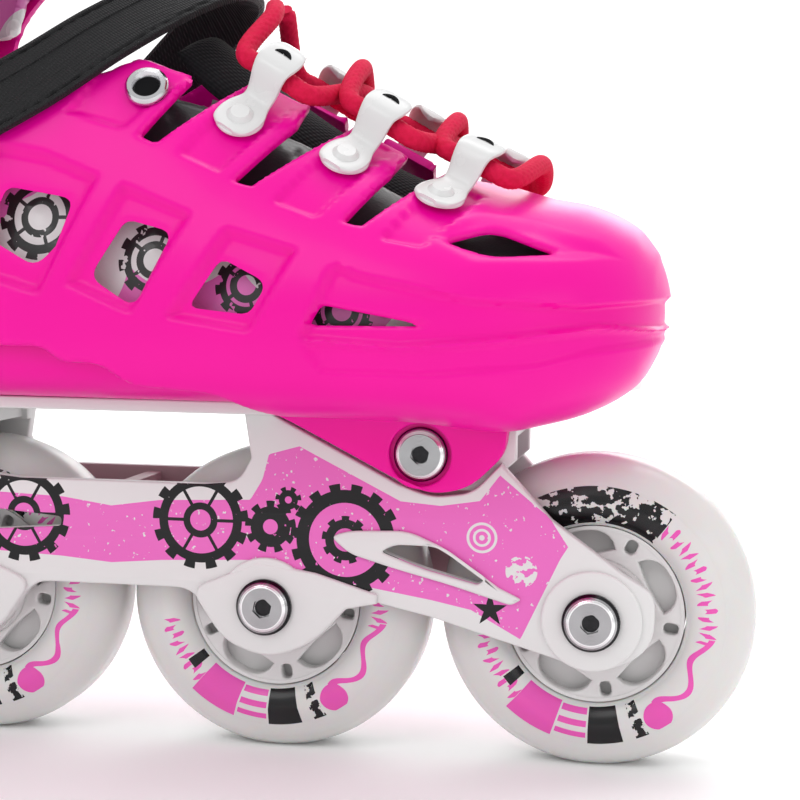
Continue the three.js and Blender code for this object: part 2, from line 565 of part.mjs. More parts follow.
function instepStrap() {
	const half = [[-74, -34.8, 116], [-60, -36.4, 121], [-47, -39.6, 126], [-24, -40, 136], [2, -35.4, 150],
		[17, -28, 161], [29, -18, 169.6], [35.5, -9, 173.8], [37, 0, 175]];
	const outward = ({ y }) => {
		const lean = 1 - Math.abs(y) / 46;
		return new THREE.Vector3(0.6 * lean, y / 46, 1.1 * lean);
	};
	return band(arch(half), outward, 15, 2.2);
}

function ladderStrap() {
	const half = [[-48, -44.8, 206], [-32, -43, 206], [-15, -38.4, 206.5], [1, -30, 207.5], [11.2, -16, 208.5],
		[14.8, 0, 209]];
	const outward = ({ y }) => new THREE.Vector3(1 - Math.abs(y) / 46, y / 40, 0);
	return band(arch(half), outward, 18, 2);
}

function buckleBase() {
	return join(box(-74, -49, -46.6, -43.8, 197, 215), box(-74, -71.6, -47.4, -46.4, 197, 215));
}

function buckleLever() {
	return flatPlate([[-70, -47.2, 0.4], [-70, -48.9, 0.6], [-52, -48.9, 2], [-40, -47.9, 0.6], [-40, -46.9, 0.4],
		[-52, -47.2, 1]], 198.5, 213.5);
}

function sizeButton() {
	const foot = BUTTON.y + 4.4;
	return turnedY([[0, -46], [2.2, -46], [3, -45.2], [3, foot], [0, foot]], BUTTON.x, BUTTON.z, 20);
}

// ---- Heel brake ----
const BRAKE_SEAT = 20.9;
const BRAKE_SCREW_X = -143;

function screwHole(z, length) {
	const geometry = new THREE.CylinderGeometry(2.9, 2.9, length, 20);
	return solid(geometry.rotateX(Math.PI / 2).translate(BRAKE_SCREW_X, 0, z));
}

function brakeHousing() {
	const arm = sidePlate([[-84.5, 35, 6], [-86, 45, 8], [-98, 46.5, 8], [-128, 47, 4], [-137, 52, 4], [-150, 50, 5],
		[-151, 33.2, 2], [-128, 33.2, 6], [-105, 24, 8], [-92, 23.5, 8]], -BRAKE_SEAT, -SKIRT_OUT - 0.3);
	const block = sidePlate([[-133.5, 33.2], [-133.5, 50.5, 3], [-137, 52, 4], [-150, 50, 5], [-151, 33.2]],
		-SKIRT_OUT - 0.5, SKIRT_OUT + 0.5);
	return cut(join(bothSides(arm), block), pinY(AXLE_XS[3], AXLE_Z, BORE_R + 0.1, -30, 30), screwHole(40, 60));
}

function brakePad() {
	const pad = sidePlate([[-134, 32.8, 1], [-158.5, 32.8, 3], [-158.5, 24, 3], [-146, 8, 4], [-136, 8, 3],
		[-133.6, 20, 2]], -13, 13);
	return cut(pad, screwHole(32, 30));
}

function brakeScrew() {
	const profile = [[0, 17.6], [2.5, 17.6], [2.5, 52.4], [5, 52.4], [5, 53.8], [4, 55], [0, 55]];
	const points = profile.map(([r, h]) => new THREE.Vector2(r, h));
	return solid(new THREE.LatheGeometry(points, 20).rotateX(Math.PI / 2).translate(BRAKE_SCREW_X, 0, 0));
}

// ---- Assembly ----
const skate = new THREE.Group();
const FINISH = {
	frame: [0xe9e7e6, 0.35, 0.05],
	shell: [0xfa1ca5, 0.35, 0],
	tyre: [0xeeebe6, 0.4, 0],
	hub: [0xf2f0ee, 0.45, 0],
	steel: [0xb8b8bc, 0.25, 0.9],
	alloy: [0xc9c9cc, 0.35, 0.8],
	rubber: [0x1b1b1d, 0.8, 0],
	black: [0x151517, 0.5, 0],
	liner: [0xf3c6e4, 0.5, 0],
	tongue: [0x141416, 0.9, 0],
	insole: [0x2a2a2e, 0.9, 0],
	hook: [0xf4f3f1, 0.3, 0],
	lace: [0xe0204f, 0.85, 0],
	strap: [0x1a1a18, 0.7, 0],
};

function add(name, finish, manifold) {
	const [color, roughness, metalness] = FINISH[finish];
	const material = new THREE.MeshStandardMaterial({ color, roughness, metalness });
	const mesh = new THREE.Mesh(toGeometry(manifold), material);
	mesh.name = name;
	skate.add(mesh);
}

add('frame_chassis', 'frame', chassis());
AXLE_XS.forEach((x, i) => {
	const seat = i === 3 ? BRAKE_SEAT + 0.2 : SKIRT_OUT + 0.2;
	add(`tyre_${i + 1}`, 'tyre', tyre(x));
	add(`hub_${i + 1}`, 'hub', hub(x));
	add(`bearing_${i + 1}_outer`, 'steel', bearing(x, -1));
	add(`bearing_${i + 1}_inner`, 'steel', bearing(x, 1));
	add(`bearing_spacer_${i + 1}`, 'alloy', bearingSpacer(x));
	add(`axle_sleeve_${i + 1}`, 'steel', sleeve(x, AXLE_Z, seat, AXLE_HEAD_R));
	add(`axle_screw_${i + 1}`, 'steel', screw(x, AXLE_Z, seat, AXLE_HEAD_R));
});
BOLT_XS.forEach((x, i) => {
	const end = ['front', 'rear'][i];
	add(`mount_sleeve_${end}`, 'steel', sleeve(x, BOLT_Z, LUG_OUT - LUG_RECESS, BOLT_HEAD_R));
	add(`mount_bolt_${end}`, 'steel', screw(x, BOLT_Z, LUG_OUT - LUG_RECESS, BOLT_HEAD_R));
});
add('brake_housing', 'black', brakeHousing());
add('brake_pad', 'rubber', brakePad());
add('brake_screw', 'steel', brakeScrew());
add('base_shell', 'shell', baseShell());
add('toe_shell', 'shell', toeShell());
add('cuff', 'shell', cuff());
add('cuff_rivet_outer', 'steel', cuffRivet(-1));
add('cuff_rivet_inner', 'steel', cuffRivet(1));
add('liner_foot', 'liner', linerFoot());
add('liner_collar', 'liner', linerCollar());
add('tongue_lower', 'tongue', tongueLower());
add('tongue_upper', 'tongue', tongueUpper());
add('insole', 'insole', insole());
HOOKS.forEach((place, i) => {
	add(`lace_hook_outer_${i + 1}`, 'hook', hook(place));
	add(`lace_hook_inner_${i + 1}`, 'hook', mirrorY(hook(place)));
});
add('eyelet_outer', 'steel', eyelet(-1));
add('eyelet_inner', 'steel', eyelet(1));
add('lace', 'lace', lace());
add('instep_strap', 'strap', instepStrap());
add('ladder_strap', 'black', ladderStrap());
add('buckle_base', 'black', buckleBase());
add('buckle_lever', 'hook', buckleLever());
add('size_button', 'black', sizeButton());

export default skate;
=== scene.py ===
import math

import bpy
import numpy as np
from mathutils import Matrix, Vector


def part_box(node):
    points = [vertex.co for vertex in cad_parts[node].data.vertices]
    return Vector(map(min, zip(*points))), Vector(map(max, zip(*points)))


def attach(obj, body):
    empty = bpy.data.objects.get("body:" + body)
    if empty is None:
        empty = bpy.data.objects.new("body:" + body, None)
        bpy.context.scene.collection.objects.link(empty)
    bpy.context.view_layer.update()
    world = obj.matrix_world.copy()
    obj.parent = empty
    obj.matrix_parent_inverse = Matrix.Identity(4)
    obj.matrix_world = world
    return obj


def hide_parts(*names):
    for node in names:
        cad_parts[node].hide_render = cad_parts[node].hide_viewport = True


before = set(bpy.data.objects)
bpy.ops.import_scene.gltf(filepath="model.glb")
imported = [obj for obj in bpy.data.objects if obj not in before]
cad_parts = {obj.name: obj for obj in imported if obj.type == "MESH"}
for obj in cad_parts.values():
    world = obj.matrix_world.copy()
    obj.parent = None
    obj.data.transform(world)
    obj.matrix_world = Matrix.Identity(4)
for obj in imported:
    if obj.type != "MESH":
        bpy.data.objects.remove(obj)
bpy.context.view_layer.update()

# A child's adjustable inline skate. Lengths below are in millimetres; meshes are made in metres.
MM = 0.001
AXLES = [tuple(np.mean([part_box(f"hub_{i}")[k] for k in (0, 1)], axis=0) / MM) for i in (1, 2, 3, 4)]
BOLTS = [tuple(np.mean([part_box(f"mount_bolt_{e}")[k] for k in (0, 1)], axis=0) / MM) for e in ("front",
                                                                                               "rear")]
FRAME_MID_X = 14
SHELL_MID_Z = 101
SHELL_WALL = 2.4
RIM_ROUND = 0.9
FAR = 40.0  # stands for "nowhere near this cut"
TOE_TIP_X = 138.5
TOE_REAR_X = -46
TOE_TRAVEL = 20
NOSE_FROM = 74
HEEL_X = -112
HEEL_FROM = -62
BASE_OFFSET = 2.9
PIVOT = (-60, 0, 150)
BUTTON = (-17, -40.5, 99)
HALF_WIDTH = [(-112, 36), (-60, 38.5), (-42, 40.5), (-10, 43), (20, 45.5), (50, 48), (74, 48.5)]
TOP = [(-112, 225), (-42, 206), (-10, 192), (26.5, 178), (47.5, 162), (70.7, 146.8), (91.4, 133.5),
       (110, 127),
       (122, 124.5), (131, 120), (136, 114)]
CROWN = [(48, 1.6), (70, 1.7), (91, 1.9), (110, 2.2)]
BOTTOM = [(48, 78), (85, 77.4), (104, 75.7), (112, 77), (123, 80.3), (132, 86), (136, 93)]


# ---- Camera, light and floor ----
def make_camera():
    yaw, pitch, roll = 0.1901, 0.0807, 0.0103
    ahead = Vector((-math.sin(yaw) * math.cos(pitch), math.cos(yaw) * math.cos(pitch), -math.sin(pitch)))
    right = Vector((math.cos(yaw), math.sin(yaw), 0))
    up = right.cross(ahead)
    side = math.cos(roll) * right + math.sin(roll) * up
    top = -math.sin(roll) * right + math.cos(roll) * up
    camera = bpy.data.objects.new("camera", bpy.data.cameras.new("camera"))
    camera.data.lens = 81.34
    camera.data.sensor_width = 36
    camera.data.clip_start = 0.02
    turn = Matrix((side, top, -ahead)).transposed().to_4x4()
    camera.matrix_world = Matrix.Translation((0.15534, -0.40524, 0.11387)) @ turn
    bpy.context.scene.collection.objects.link(camera)
    bpy.context.scene.camera = camera


def area_light(name, where, target, width, power):
    lamp = bpy.data.lights.new(name, "AREA")
    lamp.shape = "RECTANGLE"
    lamp.size = width
    lamp.size_y = width * 0.6
    lamp.energy = power
    light = bpy.data.objects.new(name, lamp)
    light.location = where
    light.rotation_euler = (Vector(target) - Vector(where)).to_track_quat("-Z", "Y").to_euler()
    bpy.context.scene.collection.objects.link(light)


def make_stage():
    verts, faces = [], []
    rows = [(-3, 0), (1.2, 0), (1.6, 0.05), (1.95, 0.25), (2.1, 0.6), (2.15, 3)]
    for y, z in rows:
        verts += [(-4, y, z), (4, y, z)]
    for i in range(len(rows) - 1):
        faces.append((2 * i, 2 * i + 1, 2 * i + 3, 2 * i + 2))
    mesh = bpy.data.meshes.new("floor")
    mesh.from_pydata(verts, [], faces)
    floor = bpy.data.objects.new("floor", mesh)
    bpy.context.scene.collection.objects.link(floor)
    paint = Paint("floor_paper", rough=0.9)
    paint.colour(paint.mix((0.96, 0.96, 0.96), (0.98, 0.98, 0.98), paint.noise(3)))
    mesh.materials.append(paint.material)
    world = bpy.data.worlds.new("studio")
    world.use_nodes = True
    world.node_tree.nodes["Background"].inputs[0].default_value = (1, 1, 1, 1)
    world.node_tree.nodes["Background"].inputs[1].default_value = 0.8
    bpy.context.scene.world = world
    bpy.context.scene.view_settings.view_transform = "Standard"
    area_light("key", (-0.35, -0.9, 0.95), (0.03, 0, 0.1), 0.8, 3)
    area_light("fill", (0.95, -0.75, 0.35), (0.05, 0, 0.08), 0.6, 0.8)
    area_light("top", (0.05, 0.15, 1.1), (0.03, 0, 0.1), 0.9, 2)
    area_light("back", (0.2, 1.1, 0.6), (0, 0, 0.12), 0.8, 3)
    area_light("wall", (0, 0.7, 1.9), (0, 2.1, 0.5), 2.2, 22)


# ---- Node materials ----
class Field:
    """A shader number that makes Math nodes as it is combined."""

    def __init__(self, tree, socket):
        self.tree, self.socket = tree, socket

    def op(self, kind, *others):
        node = self.tree.nodes.new("ShaderNodeMath")
        node.operation = kind
        for i, value in enumerate((self, *others)):
            if isinstance(value, Field):
                self.tree.links.new(value.socket, node.inputs[i])
            else:
                node.inputs[i].default_value = value
        return Field(self.tree, node.outputs[0])

    def __add__(self, b): return self.op("ADD", b)
    def __sub__(self, b): return self.op("SUBTRACT", b)
    def __mul__(self, b): return self.op("MULTIPLY", b)
    def __truediv__(self, b): return self.op("DIVIDE", b)
    def below(self, b): return self.op("LESS_THAN", b)
    def above(self, b): return self.op("GREATER_THAN", b)
    def most(self, b): return self.op("MAXIMUM", b)
    def size(self): return self.op("ABSOLUTE")
    def sine(self): return self.op("SINE")
    def flip(self): return (self * -1) + 1


def length2(a, b):
    return (a * a + b * b).op("SQRT")


class Paint:
    """A Principled material in the piece's own coordinates, given in millimetres."""

    def __init__(self, name, rough=0.4, metal=0.0, **sockets):
        self.material = bpy.data.materials.new(name)
        self.material.use_nodes = True
        self.tree = self.material.node_tree
        self.bsdf = self.tree.nodes["Principled BSDF"]
        self.bsdf.inputs["Roughness"].default_value = rough
        self.bsdf.inputs["Metallic"].default_value = metal
        for socket, value in sockets.items():
            self.bsdf.inputs[socket.replace("_", " ")].default_value = value
        self.place = self.tree.nodes.new("ShaderNodeTexCoord").outputs["Object"]
        self.heights = None

    def xyz(self):
        node = self.tree.nodes.new("ShaderNodeSeparateXYZ")
        self.tree.links.new(self.place, node.inputs[0])
        return [Field(self.tree, out) * 1000 for out in node.outputs]

    def noise(self, per_metre, detail=2.0, rough=0.5):
        node = self.tree.nodes.new("ShaderNodeTexNoise")
        node.inputs["Scale"].default_value = per_metre
        node.inputs["Detail"].default_value = detail
        node.inputs["Roughness"].default_value = rough
        self.tree.links.new(self.place, node.inputs["Vector"])
        return Field(self.tree, node.outputs[0])

    def cells(self, per_metre):
        node = self.tree.nodes.new("ShaderNodeTexVoronoi")
        node.inputs["Scale"].default_value = per_metre
        self.tree.links.new(self.place, node.inputs["Vector"])
        return Field(self.tree, node.outputs[0])

    def ramp(self, field, stops, low, high):
        """A straight-line graph: stops are (input, output) between low and high outputs."""
        node = self.tree.nodes.new("ShaderNodeValToRGB")
        first, last = stops[0][0], stops[-1][0]
        elements = node.color_ramp.elements
        while len(elements) < len(stops):
            elements.new(0.5)
        for element, (at, value) in zip(elements, stops):
            element.position = (at - first) / (last - first)
            level = (value - low) / (high - low)
            element.color = (level, level, level, 1)
        self.tree.links.new(((field - first) / (last - first)).socket, node.inputs[0])
        split = self.tree.nodes.new("ShaderNodeSeparateColor")
        self.tree.links.new(node.outputs[0], split.inputs[0])
        return Field(self.tree, split.outputs[0]) * (high - low) + low

    def mix(self, a, b, factor):
        node = self.tree.nodes.new("ShaderNodeMix")
        node.data_type = "RGBA"
        for value, socket in ((a, node.inputs[6]), (b, node.inputs[7])):
            if isinstance(value, tuple):
                socket.default_value = (*value, 1)
            else:
                self.tree.links.new(value, socket)
        self.tree.links.new(factor.socket, node.inputs[0])
        return node.outputs[2]

    def colour(self, socket):
        self.tree.links.new(socket, self.bsdf.inputs["Base Color"])
        return self

    def roughness(self, field, low, high):
        self.tree.links.new((field * (high - low) + low).socket, self.bsdf.inputs["Roughness"])
        return self

    def bump(self, field, depth_mm, strength=1.0):
        node = self.tree.nodes.new("ShaderNodeBump")
        node.inputs["Strength"].default_value = strength
        node.inputs["Distance"].default_value = depth_mm * MM
        self.tree.links.new(field.socket, node.inputs["Height"])
        if self.heights:
            self.tree.links.new(self.heights, node.inputs["Normal"])
        self.heights = node.outputs[0]
        self.tree.links.new(self.heights, self.bsdf.inputs["Normal"])
        return self


def moulded(name, colour, rough, grain=1.0, **sockets):
    """Injection-moulded plastic: faint flow mottling, fine grain and uneven gloss."""
    paint = Paint(name, rough, **sockets)
    dark = tuple(c * 0.93 for c in colour)
    paint.colour(paint.mix(dark, colour, paint.noise(45, 3)))
    paint.roughness(paint.noise(130, 4), rough - 0.06, rough + 0.08)
    paint.bump(paint.noise(1400, 2), 0.012 * grain).bump(paint.noise(60, 2), 0.05 * grain)
    return paint


def metal(name, colour, rough, turned=False, socket=False):
    paint = Paint(name, rough, 1.0)
    dark = tuple(c * 0.85 for c in colour)
    base = paint.mix(dark, colour, paint.noise(300, 4))
    if socket:
        x, _, z = paint.xyz()
        r = length2(x, z)
        # A light ring painted on the head's bevel: a painted highlight.
        base = paint.mix(base, (0.85, 0.85, 0.86), (r - 4.95).size().below(0.35))
        # Black on the socket's floor (r < 1.9) is painted shade; black round the head's outer rim (r > 5.75)
        # is a painted shadow gap.
        base = paint.mix(base, (0.03, 0.03, 0.032), r.below(1.9).most(r.above(5.75)))
    paint.colour(base)
    paint.roughness(paint.noise(800, 4), rough - 0.04, rough + 0.1)
    if turned:
        x, _, z = paint.xyz()
        paint.bump((length2(x, z) * 22).sine(), 0.006)
    paint.bump(paint.noise(2200, 2), 0.004)
    return paint


def woven(name, colour, pitch, depth=0.12, rough=0.85, crest_highlight=None):
    """A plain weave of crossing threads, pitch millimetres apart."""
    paint = Paint(name, rough, Sheen_Weight=0.04, Specular_IOR_Level=0.25)
    x, y, z = paint.xyz()
    warp = ((x + z * 0.4) * (math.tau / pitch)).sine()
    weft = ((y + z * 0.9) * (math.tau / pitch)).sine()
    weave = (warp * weft) * 0.5 + 0.5
    # The raised thread crests are painted lighter (colour * 1.6 by default): painted sheen on the weave.
    paint.colour(paint.mix(colour, crest_highlight or tuple(c * 1.6 + 0.002 for c in colour),
                           weave * paint.noise(900, 3)))
    paint.bump(weave, depth).bump(paint.noise(260, 3), 0.2)
    return paint


def cog(x, z, cx, cz, r, teeth, tooth, bore, spokes=0, spoke=0.8, rim=None):
    """The mask of a gear wheel's outline: teeth round a rim, a bore, and open sectors between spokes."""
    dx, dz = x - cx, z - cz
    away = length2(dx, dz)
    angle = dz.op("ARCTAN2", dx)
    edge = (angle * teeth).sine().above(0) * tooth + r
    body = away.below(edge) * away.above(bore)
    if rim is not None:
        inside = away.below(rim)
        if spokes:
            arms = ((angle * (spokes / 2)).sine().size() * away).below(spoke)
            centre = away.below(bore + 1.6)
            inside = inside * arms.most(centre).flip()
        body = body * inside.flip()
    return body


PINK = (0.88, 0.0, 0.335)
PINK_PRINT = (0.78, 0.15, 0.52)
WHITE = (0.72, 0.72, 0.715)
BLACK = (0.006, 0.006, 0.007)


# ---- Mesh tools ----
def add_mesh(name, shape, paint, body, nodes=(), sharp=35, at=(0, 0, 0)):
    verts, faces = shape
    mesh = bpy.data.meshes.new(name)
    mesh.from_pydata((np.asarray(verts, float) * MM).tolist(), [], [tuple(map(int, f)) for f in faces])
    mesh.polygons.foreach_set("use_smooth", [True] * len(mesh.polygons))
    mesh.set_sharp_from_angle(angle=math.radians(sharp))
    mesh.materials.append(paint.material)
    piece = bpy.data.objects.new(name, mesh)
    piece.location = Vector(at) * MM
    bpy.context.scene.collection.objects.link(piece)
    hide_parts(*nodes)
    if body:
        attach(piece, body)
    return piece


def joined(*shapes):
    verts, faces = [], []
    for v, f in shapes:
        offset = sum(len(a) for a in verts)
        verts.append(np.asarray(v, float))
        faces += [tuple(int(i) + offset for i in face) for face in f]
    return np.concatenate(verts), faces


def mirrored(shape):
    verts, faces = shape
    return np.asarray(verts) * (1, -1, 1), [tuple(reversed(f)) for f in faces]


def both_sides(shape):
    return joined(shape, mirrored(shape))


def moved(shape, by):
    return np.asarray(shape[0]) + by, shape[1]


def welded(verts, faces, grid=0.002):
    keys = np.round(np.asarray(verts) / grid).astype(np.int64)
    _, first, inverse = np.unique(keys, axis=0, return_index=True, return_inverse=True)
    inverse = inverse.ravel()
    kept = []
    for face in faces:
        loop = [int(inverse[i]) for i in face]
        loop = [v for i, v in enumerate(loop) if v != loop[i - 1]]
        if len(loop) > 2:
            kept.append(tuple(loop))
    return np.asarray(verts)[first], kept


def trace(corners, steps=6):
    """Points of a closed outline whose (x, y, radius) corners are rounded."""
    points = []
    for i, (x, y, *r) in enumerate(corners):
        here = np.array((x, y), float)
        before, after = (np.array(corners[j][:2], float) - here for j in (i - 1, (i + 1) % len(corners)))
        reach = min(r[0] if r else 0, np.hypot(*before) * 0.49, np.hypot(*after) * 0.49)
        if reach <= 0:
            points.append(here)
            continue
        start = here + before / np.hypot(*before) * reach
        end = here + after / np.hypot(*after) * reach
        for t in np.linspace(0, 1, steps + 1):
            points.append((1 - t) ** 2 * start + 2 * t * (1 - t) * here + t * t * end)
    return np.array(points)


def circle(cx, cy, r, count=48, start=0.0):
    a = np.arange(count) / count * math.tau + start
    return np.stack((cx + r * np.cos(a), cy + r * np.sin(a)), axis=1)


def to_shape(thing):
    """The evaluated mesh of an object as (vertices in millimetres, faces)."""
    bpy.context.view_layer.update()
    mesh = bpy.data.meshes.new_from_object(thing.evaluated_get(bpy.context.evaluated_depsgraph_get()))
    verts = np.array([v.co for v in mesh.vertices]) / MM
    faces = [tuple(p.vertices) for p in mesh.polygons]
    bpy.data.meshes.remove(mesh)
    bpy.data.objects.remove(thing)
    return verts, faces


def plate(outline, y0, y1, holes=(), bevel=0.5):
    """A plate whose outline lies in the XZ plane, from y0 to y1, its edges rounded by the bevel."""
    curve = bpy.data.curves.new("plate", "CURVE")
    curve.dimensions = "2D"
    curve.fill_mode = "BOTH"
    curve.bevel_depth = bevel * MM
    curve.bevel_resolution = 2
    curve.extrude = max((y1 - y0) / 2 - bevel, 0.01) * MM
    curve.offset = -bevel * MM
    for loop in (outline, *holes):
        spline = curve.splines.new("POLY")
        spline.points.add(len(loop) - 1)
        spline.points.foreach_set("co", np.array([(x * MM, z * MM, 0, 1) for x, z in loop]).ravel())
        spline.use_cyclic_u = True
    thing = bpy.data.objects.new("plate", curve)
    bpy.context.scene.collection.objects.link(thing)
    verts, faces = to_shape(thing)
    verts = np.stack((verts[:, 0], (y0 + y1) / 2 - verts[:, 2], verts[:, 1]), axis=1)
    return welded(verts, faces)


def flat_plate(outline, z0, z1, holes=(), bevel=0.5):
    """The same with its outline in the XY plane."""
    verts, faces = plate(outline, z0, z1, holes, bevel)
    return np.stack((verts[:, 0], verts[:, 2], (z0 + z1) - verts[:, 1]), axis=1), faces


def turned(profile, count=64, axis="y", closed=True):
    """A turned body about an axis through the origin, from [radius, height] points."""
    n = len(profile)
    a = np.arange(count) / count * math.tau
    verts = []
    for r, h in profile:
        u, v = r * np.cos(a), r * np.sin(a)
        rows = {"y": (u, np.full(count, h), v), "z": (u, v, np.full(count, h))}[axis]
        verts.append(np.stack(rows, axis=1))
    faces = []
    for k in range(n if closed else n - 1):
        for i in range(count):
            j = (i + 1) % count
            k2 = (k + 1) % n
            faces.append((k * count + i, k * count + j, k2 * count + j, k2 * count + i))
    verts, faces = welded(np.concatenate(verts), faces)
    return outward((verts, faces))


def outward(shape):
    """The same closed shape with its faces turned outwards."""
    verts, faces = np.asarray(shape[0]), shape[1]
    volume = 0.0
    for f in faces:
        for k in range(1, len(f) - 1):
            volume += np.dot(verts[f[0]], np.cross(verts[f[k]], verts[f[k + 1]]))
    return (verts, faces) if volume > 0 else (verts, [tuple(reversed(f)) for f in faces])


def combined(first, others, kind):
    """Joins ("UNION") or cuts ("DIFFERENCE") closed shapes."""
    things = []
    for verts, faces in (first, *others):
        mesh = bpy.data.meshes.new("tool")
        mesh.from_pydata((np.asarray(verts) * MM).tolist(), [], faces)
        thing = bpy.data.objects.new("tool", mesh)
        bpy.context.scene.collection.objects.link(thing)
        things.append(thing)
    for other in things[1:]:
        step = things[0].modifiers.new("step", "BOOLEAN")
        step.operation = kind
        step.object = other
        step.solver = "MANIFOLD"
    result = to_shape(things[0])
    for other in things[1:]:
        bpy.data.objects.remove(other)
    return result


def along(x, knots):
    """Smooth values at x through (x, value) knots."""
    at, value = np.array(knots, float).T
    x = np.clip(np.asarray(x, float), at[0], at[-1])
    k = np.clip(np.searchsorted(at, x, side="right") - 1, 0, len(at) - 2)
    lo, hi = np.maximum(np.arange(len(at)) - 1, 0), np.minimum(np.arange(len(at)) + 1, len(at) - 1)
    slope = (value[hi] - value[lo]) / (at[hi] - at[lo])
    width = at[k + 1] - at[k]
    s = (x - at[k]) / width
    ease = 3 * s**2 - 2 * s**3
    bend = (s**3 - 2 * s**2 + s) * slope[k] + (s**3 - s**2) * slope[k + 1]
    return (1 - ease) * value[k] + ease * value[k + 1] + bend * width


def smoothstep(t):
    t = np.clip(t, 0, 1)
    return t * t * (3 - 2 * t)


def distance(px, py, loop):
    """Signed distance from points to a closed outline, negative inside."""
    best = np.full(px.shape, 1e9)
    inside = np.zeros(px.shape, bool)
    for (ax, ay), (bx, by) in zip(loop, np.roll(loop, -1, axis=0)):
        ex, ey = bx - ax, by - ay
        t = np.clip(((px - ax) * ex + (py - ay) * ey) / (ex * ex + ey * ey + 1e-12), 0, 1)
        best = np.minimum(best, np.hypot(px - ax - t * ex, py - ay - t * ey))
        crosses = (ay > py) != (by > py)
        side = ax + (py - ay) * ex / (ey if abs(ey) > 1e-12 else 1e-12)
        inside ^= crosses & (px < side)
    return np.where(inside, -best, best)


def form_rings(xs, half, bottom, top, low_power, count):
    """Closed YZ rings, evenly spaced along each; the crown is softer than the bilge."""
    a = np.linspace(-math.pi / 2, math.pi / 2, 900)
    rings = []
    for x, w, lo, hi in zip(xs, half, bottom, top):
        crown = float(along(x, CROWN))
        power = np.where(a < 0, low_power, crown)
        y = np.abs(np.cos(a)) ** (2 / power) * w
        rise = np.abs(np.sin(a)) ** (2 / power)
        z = SHELL_MID_Z + rise * np.where(a < 0, lo - SHELL_MID_Z, hi - SHELL_MID_Z)
        run = np.concatenate(([0], np.cumsum(np.hypot(np.diff(y), np.diff(z)))))
        even = np.linspace(0, run[-1], count)
        y, z = np.interp(even, run, y), np.interp(even, run, z)
        left = np.stack((np.full(count, x), -y, z), axis=1)
        right = (left * (1, -1, 1))[-2:0:-1]
        rings.append(np.concatenate((left, right)))
    return np.array(rings)


def skinned(rings, cap_end=False, cap_start=False):
    """Triangles over rings of equal length, and their vertices."""
    s, n = rings.shape[:2]
    base = np.arange(s - 1)[:, None] * n + np.arange(n)[None, :]
    side = np.arange(s - 1)[:, None] * n + (np.arange(n)[None, :] + 1) % n
    a, b, c, d = (q.ravel() for q in (base, side, side + n, base + n))
    tris = np.concatenate((np.stack((a, b, c), 1), np.stack((a, c, d), 1)))
    verts = rings.reshape(-1, 3)
    for wanted, row, flip in ((cap_start, 0, True), (cap_end, s - 1, False)):
        if wanted:
            verts = np.concatenate((verts, rings[row].mean(axis=0)[None]))
            i = row * n + np.arange(n)
            j = row * n + (np.arange(n) + 1) % n
            fan = np.stack((i, j, np.full(n, len(verts) - 1)), 1)
            tris = np.concatenate((tris, fan[:, ::-1] if flip else fan))
    return verts, tris


def normals_of(verts, tris):
    p = verts[tris]
    face = np.cross(p[:, 1] - p[:, 0], p[:, 2] - p[:, 0])
    normal = np.zeros_like(verts)
    for k in range(3):
        np.add.at(normal, tris[:, k], face)
    return normal / np.maximum(np.linalg.norm(normal, axis=1, keepdims=True), 1e-12)


def clipped(verts, tris, field, extra):
    """The part of a skin where field > 0, cut along field = 0, with extra values carried along."""
    keep = field > 0
    count = keep[tris].sum(axis=1)
    whole = tris[count == 3]
    new_verts, new_field, new_extra = [verts], [field], [extra]
    made, total, out = {}, len(verts), []

    def crossing(i, j):
        nonlocal total
        key = (min(i, j), max(i, j))
        if key not in made:
            i, j = key
            t = field[i] / (field[i] - field[j])
            new_verts.append((verts[i] + t * (verts[j] - verts[i]))[None])
            new_field.append(np.zeros(1))
            new_extra.append((extra[i] + t * (extra[j] - extra[i]))[None])
            made[key] = total
            total += 1
        return made[key]

    for tri in tris[(count > 0) & (count < 3)]:
        loop = []
        for i, j in ((tri[0], tri[1]), (tri[1], tri[2]), (tri[2], tri[0])):
            if keep[i]:
                loop.append(int(i))
            if keep[i] != keep[j]:
                loop.append(crossing(int(i), int(j)))
        out += [(loop[0], loop[k], loop[k + 1]) for k in range(1, len(loop) - 1)]
    tris = np.concatenate((whole, np.array(out, int).reshape(-1, 3)))
    verts, field, extra = (np.concatenate(a) for a in (new_verts, new_field, new_extra))
    used, tris = np.unique(tris, return_inverse=True)
    return verts[used], tris.reshape(-1, 3), field[used], extra[used]


def walled(verts, tris, outside, inside):
    """A closed wall between two copies of a skin, moved to `outside` and `inside`."""
    n = len(verts)
    edges = {}
    for tri in tris:
        for i, j in ((tri[0], tri[1]), (tri[1], tri[2]), (tri[2], tri[0])):
            edges[(int(i), int(j))] = True
    rim = [(i, j) for i, j in edges if (j, i) not in edges]
    faces = [tuple(t) for t in tris] + [(t[2] + n, t[1] + n, t[0] + n) for t in tris]
    faces += [(j, i, i + n, j + n) for i, j in rim]
    return np.concatenate((outside, inside)), faces


def shell(skin, openness, relief, thick, lip=RIM_ROUND):
    """A moulded shell: a skin trimmed where openness < 0, with rounded rims and surface relief."""
    verts, tris = skin
    normal = normals_of(verts, tris)
    if np.sum(normal * (verts - verts.mean(axis=0))) < 0:
        tris, normal = tris[:, ::-1], -normal
    verts, tris, field, normal = clipped(verts, tris, openness(verts), normal)
    normal /= np.maximum(np.linalg.norm(normal, axis=1, keepdims=True), 1e-9)
    rim = np.clip(lip - field, 0, lip)
    roll = lip - np.sqrt(np.maximum(lip**2 - rim**2, 0))
    depth = relief(verts) + roll
    depth = np.minimum(depth, thick - 0.35)
    outside = verts - normal * depth[:, None]
    inside = verts - normal * (thick - roll * 0.25)[:, None]
    return walled(verts, tris, outside, inside)


# ---- The boot's forms ----
def nose(x, tip, start):
    s = np.clip((np.asarray(x, float) - start) / (tip - start), 0, 1)
    return (1 - s**2.6) ** (1 / 2.2)


def heel_slim(x, back):
    s = np.clip((HEEL_FROM - np.asarray(x, float)) / (HEEL_FROM - back), 0, 1)
    return (1 - s**2.4) ** (1 / 2.1)


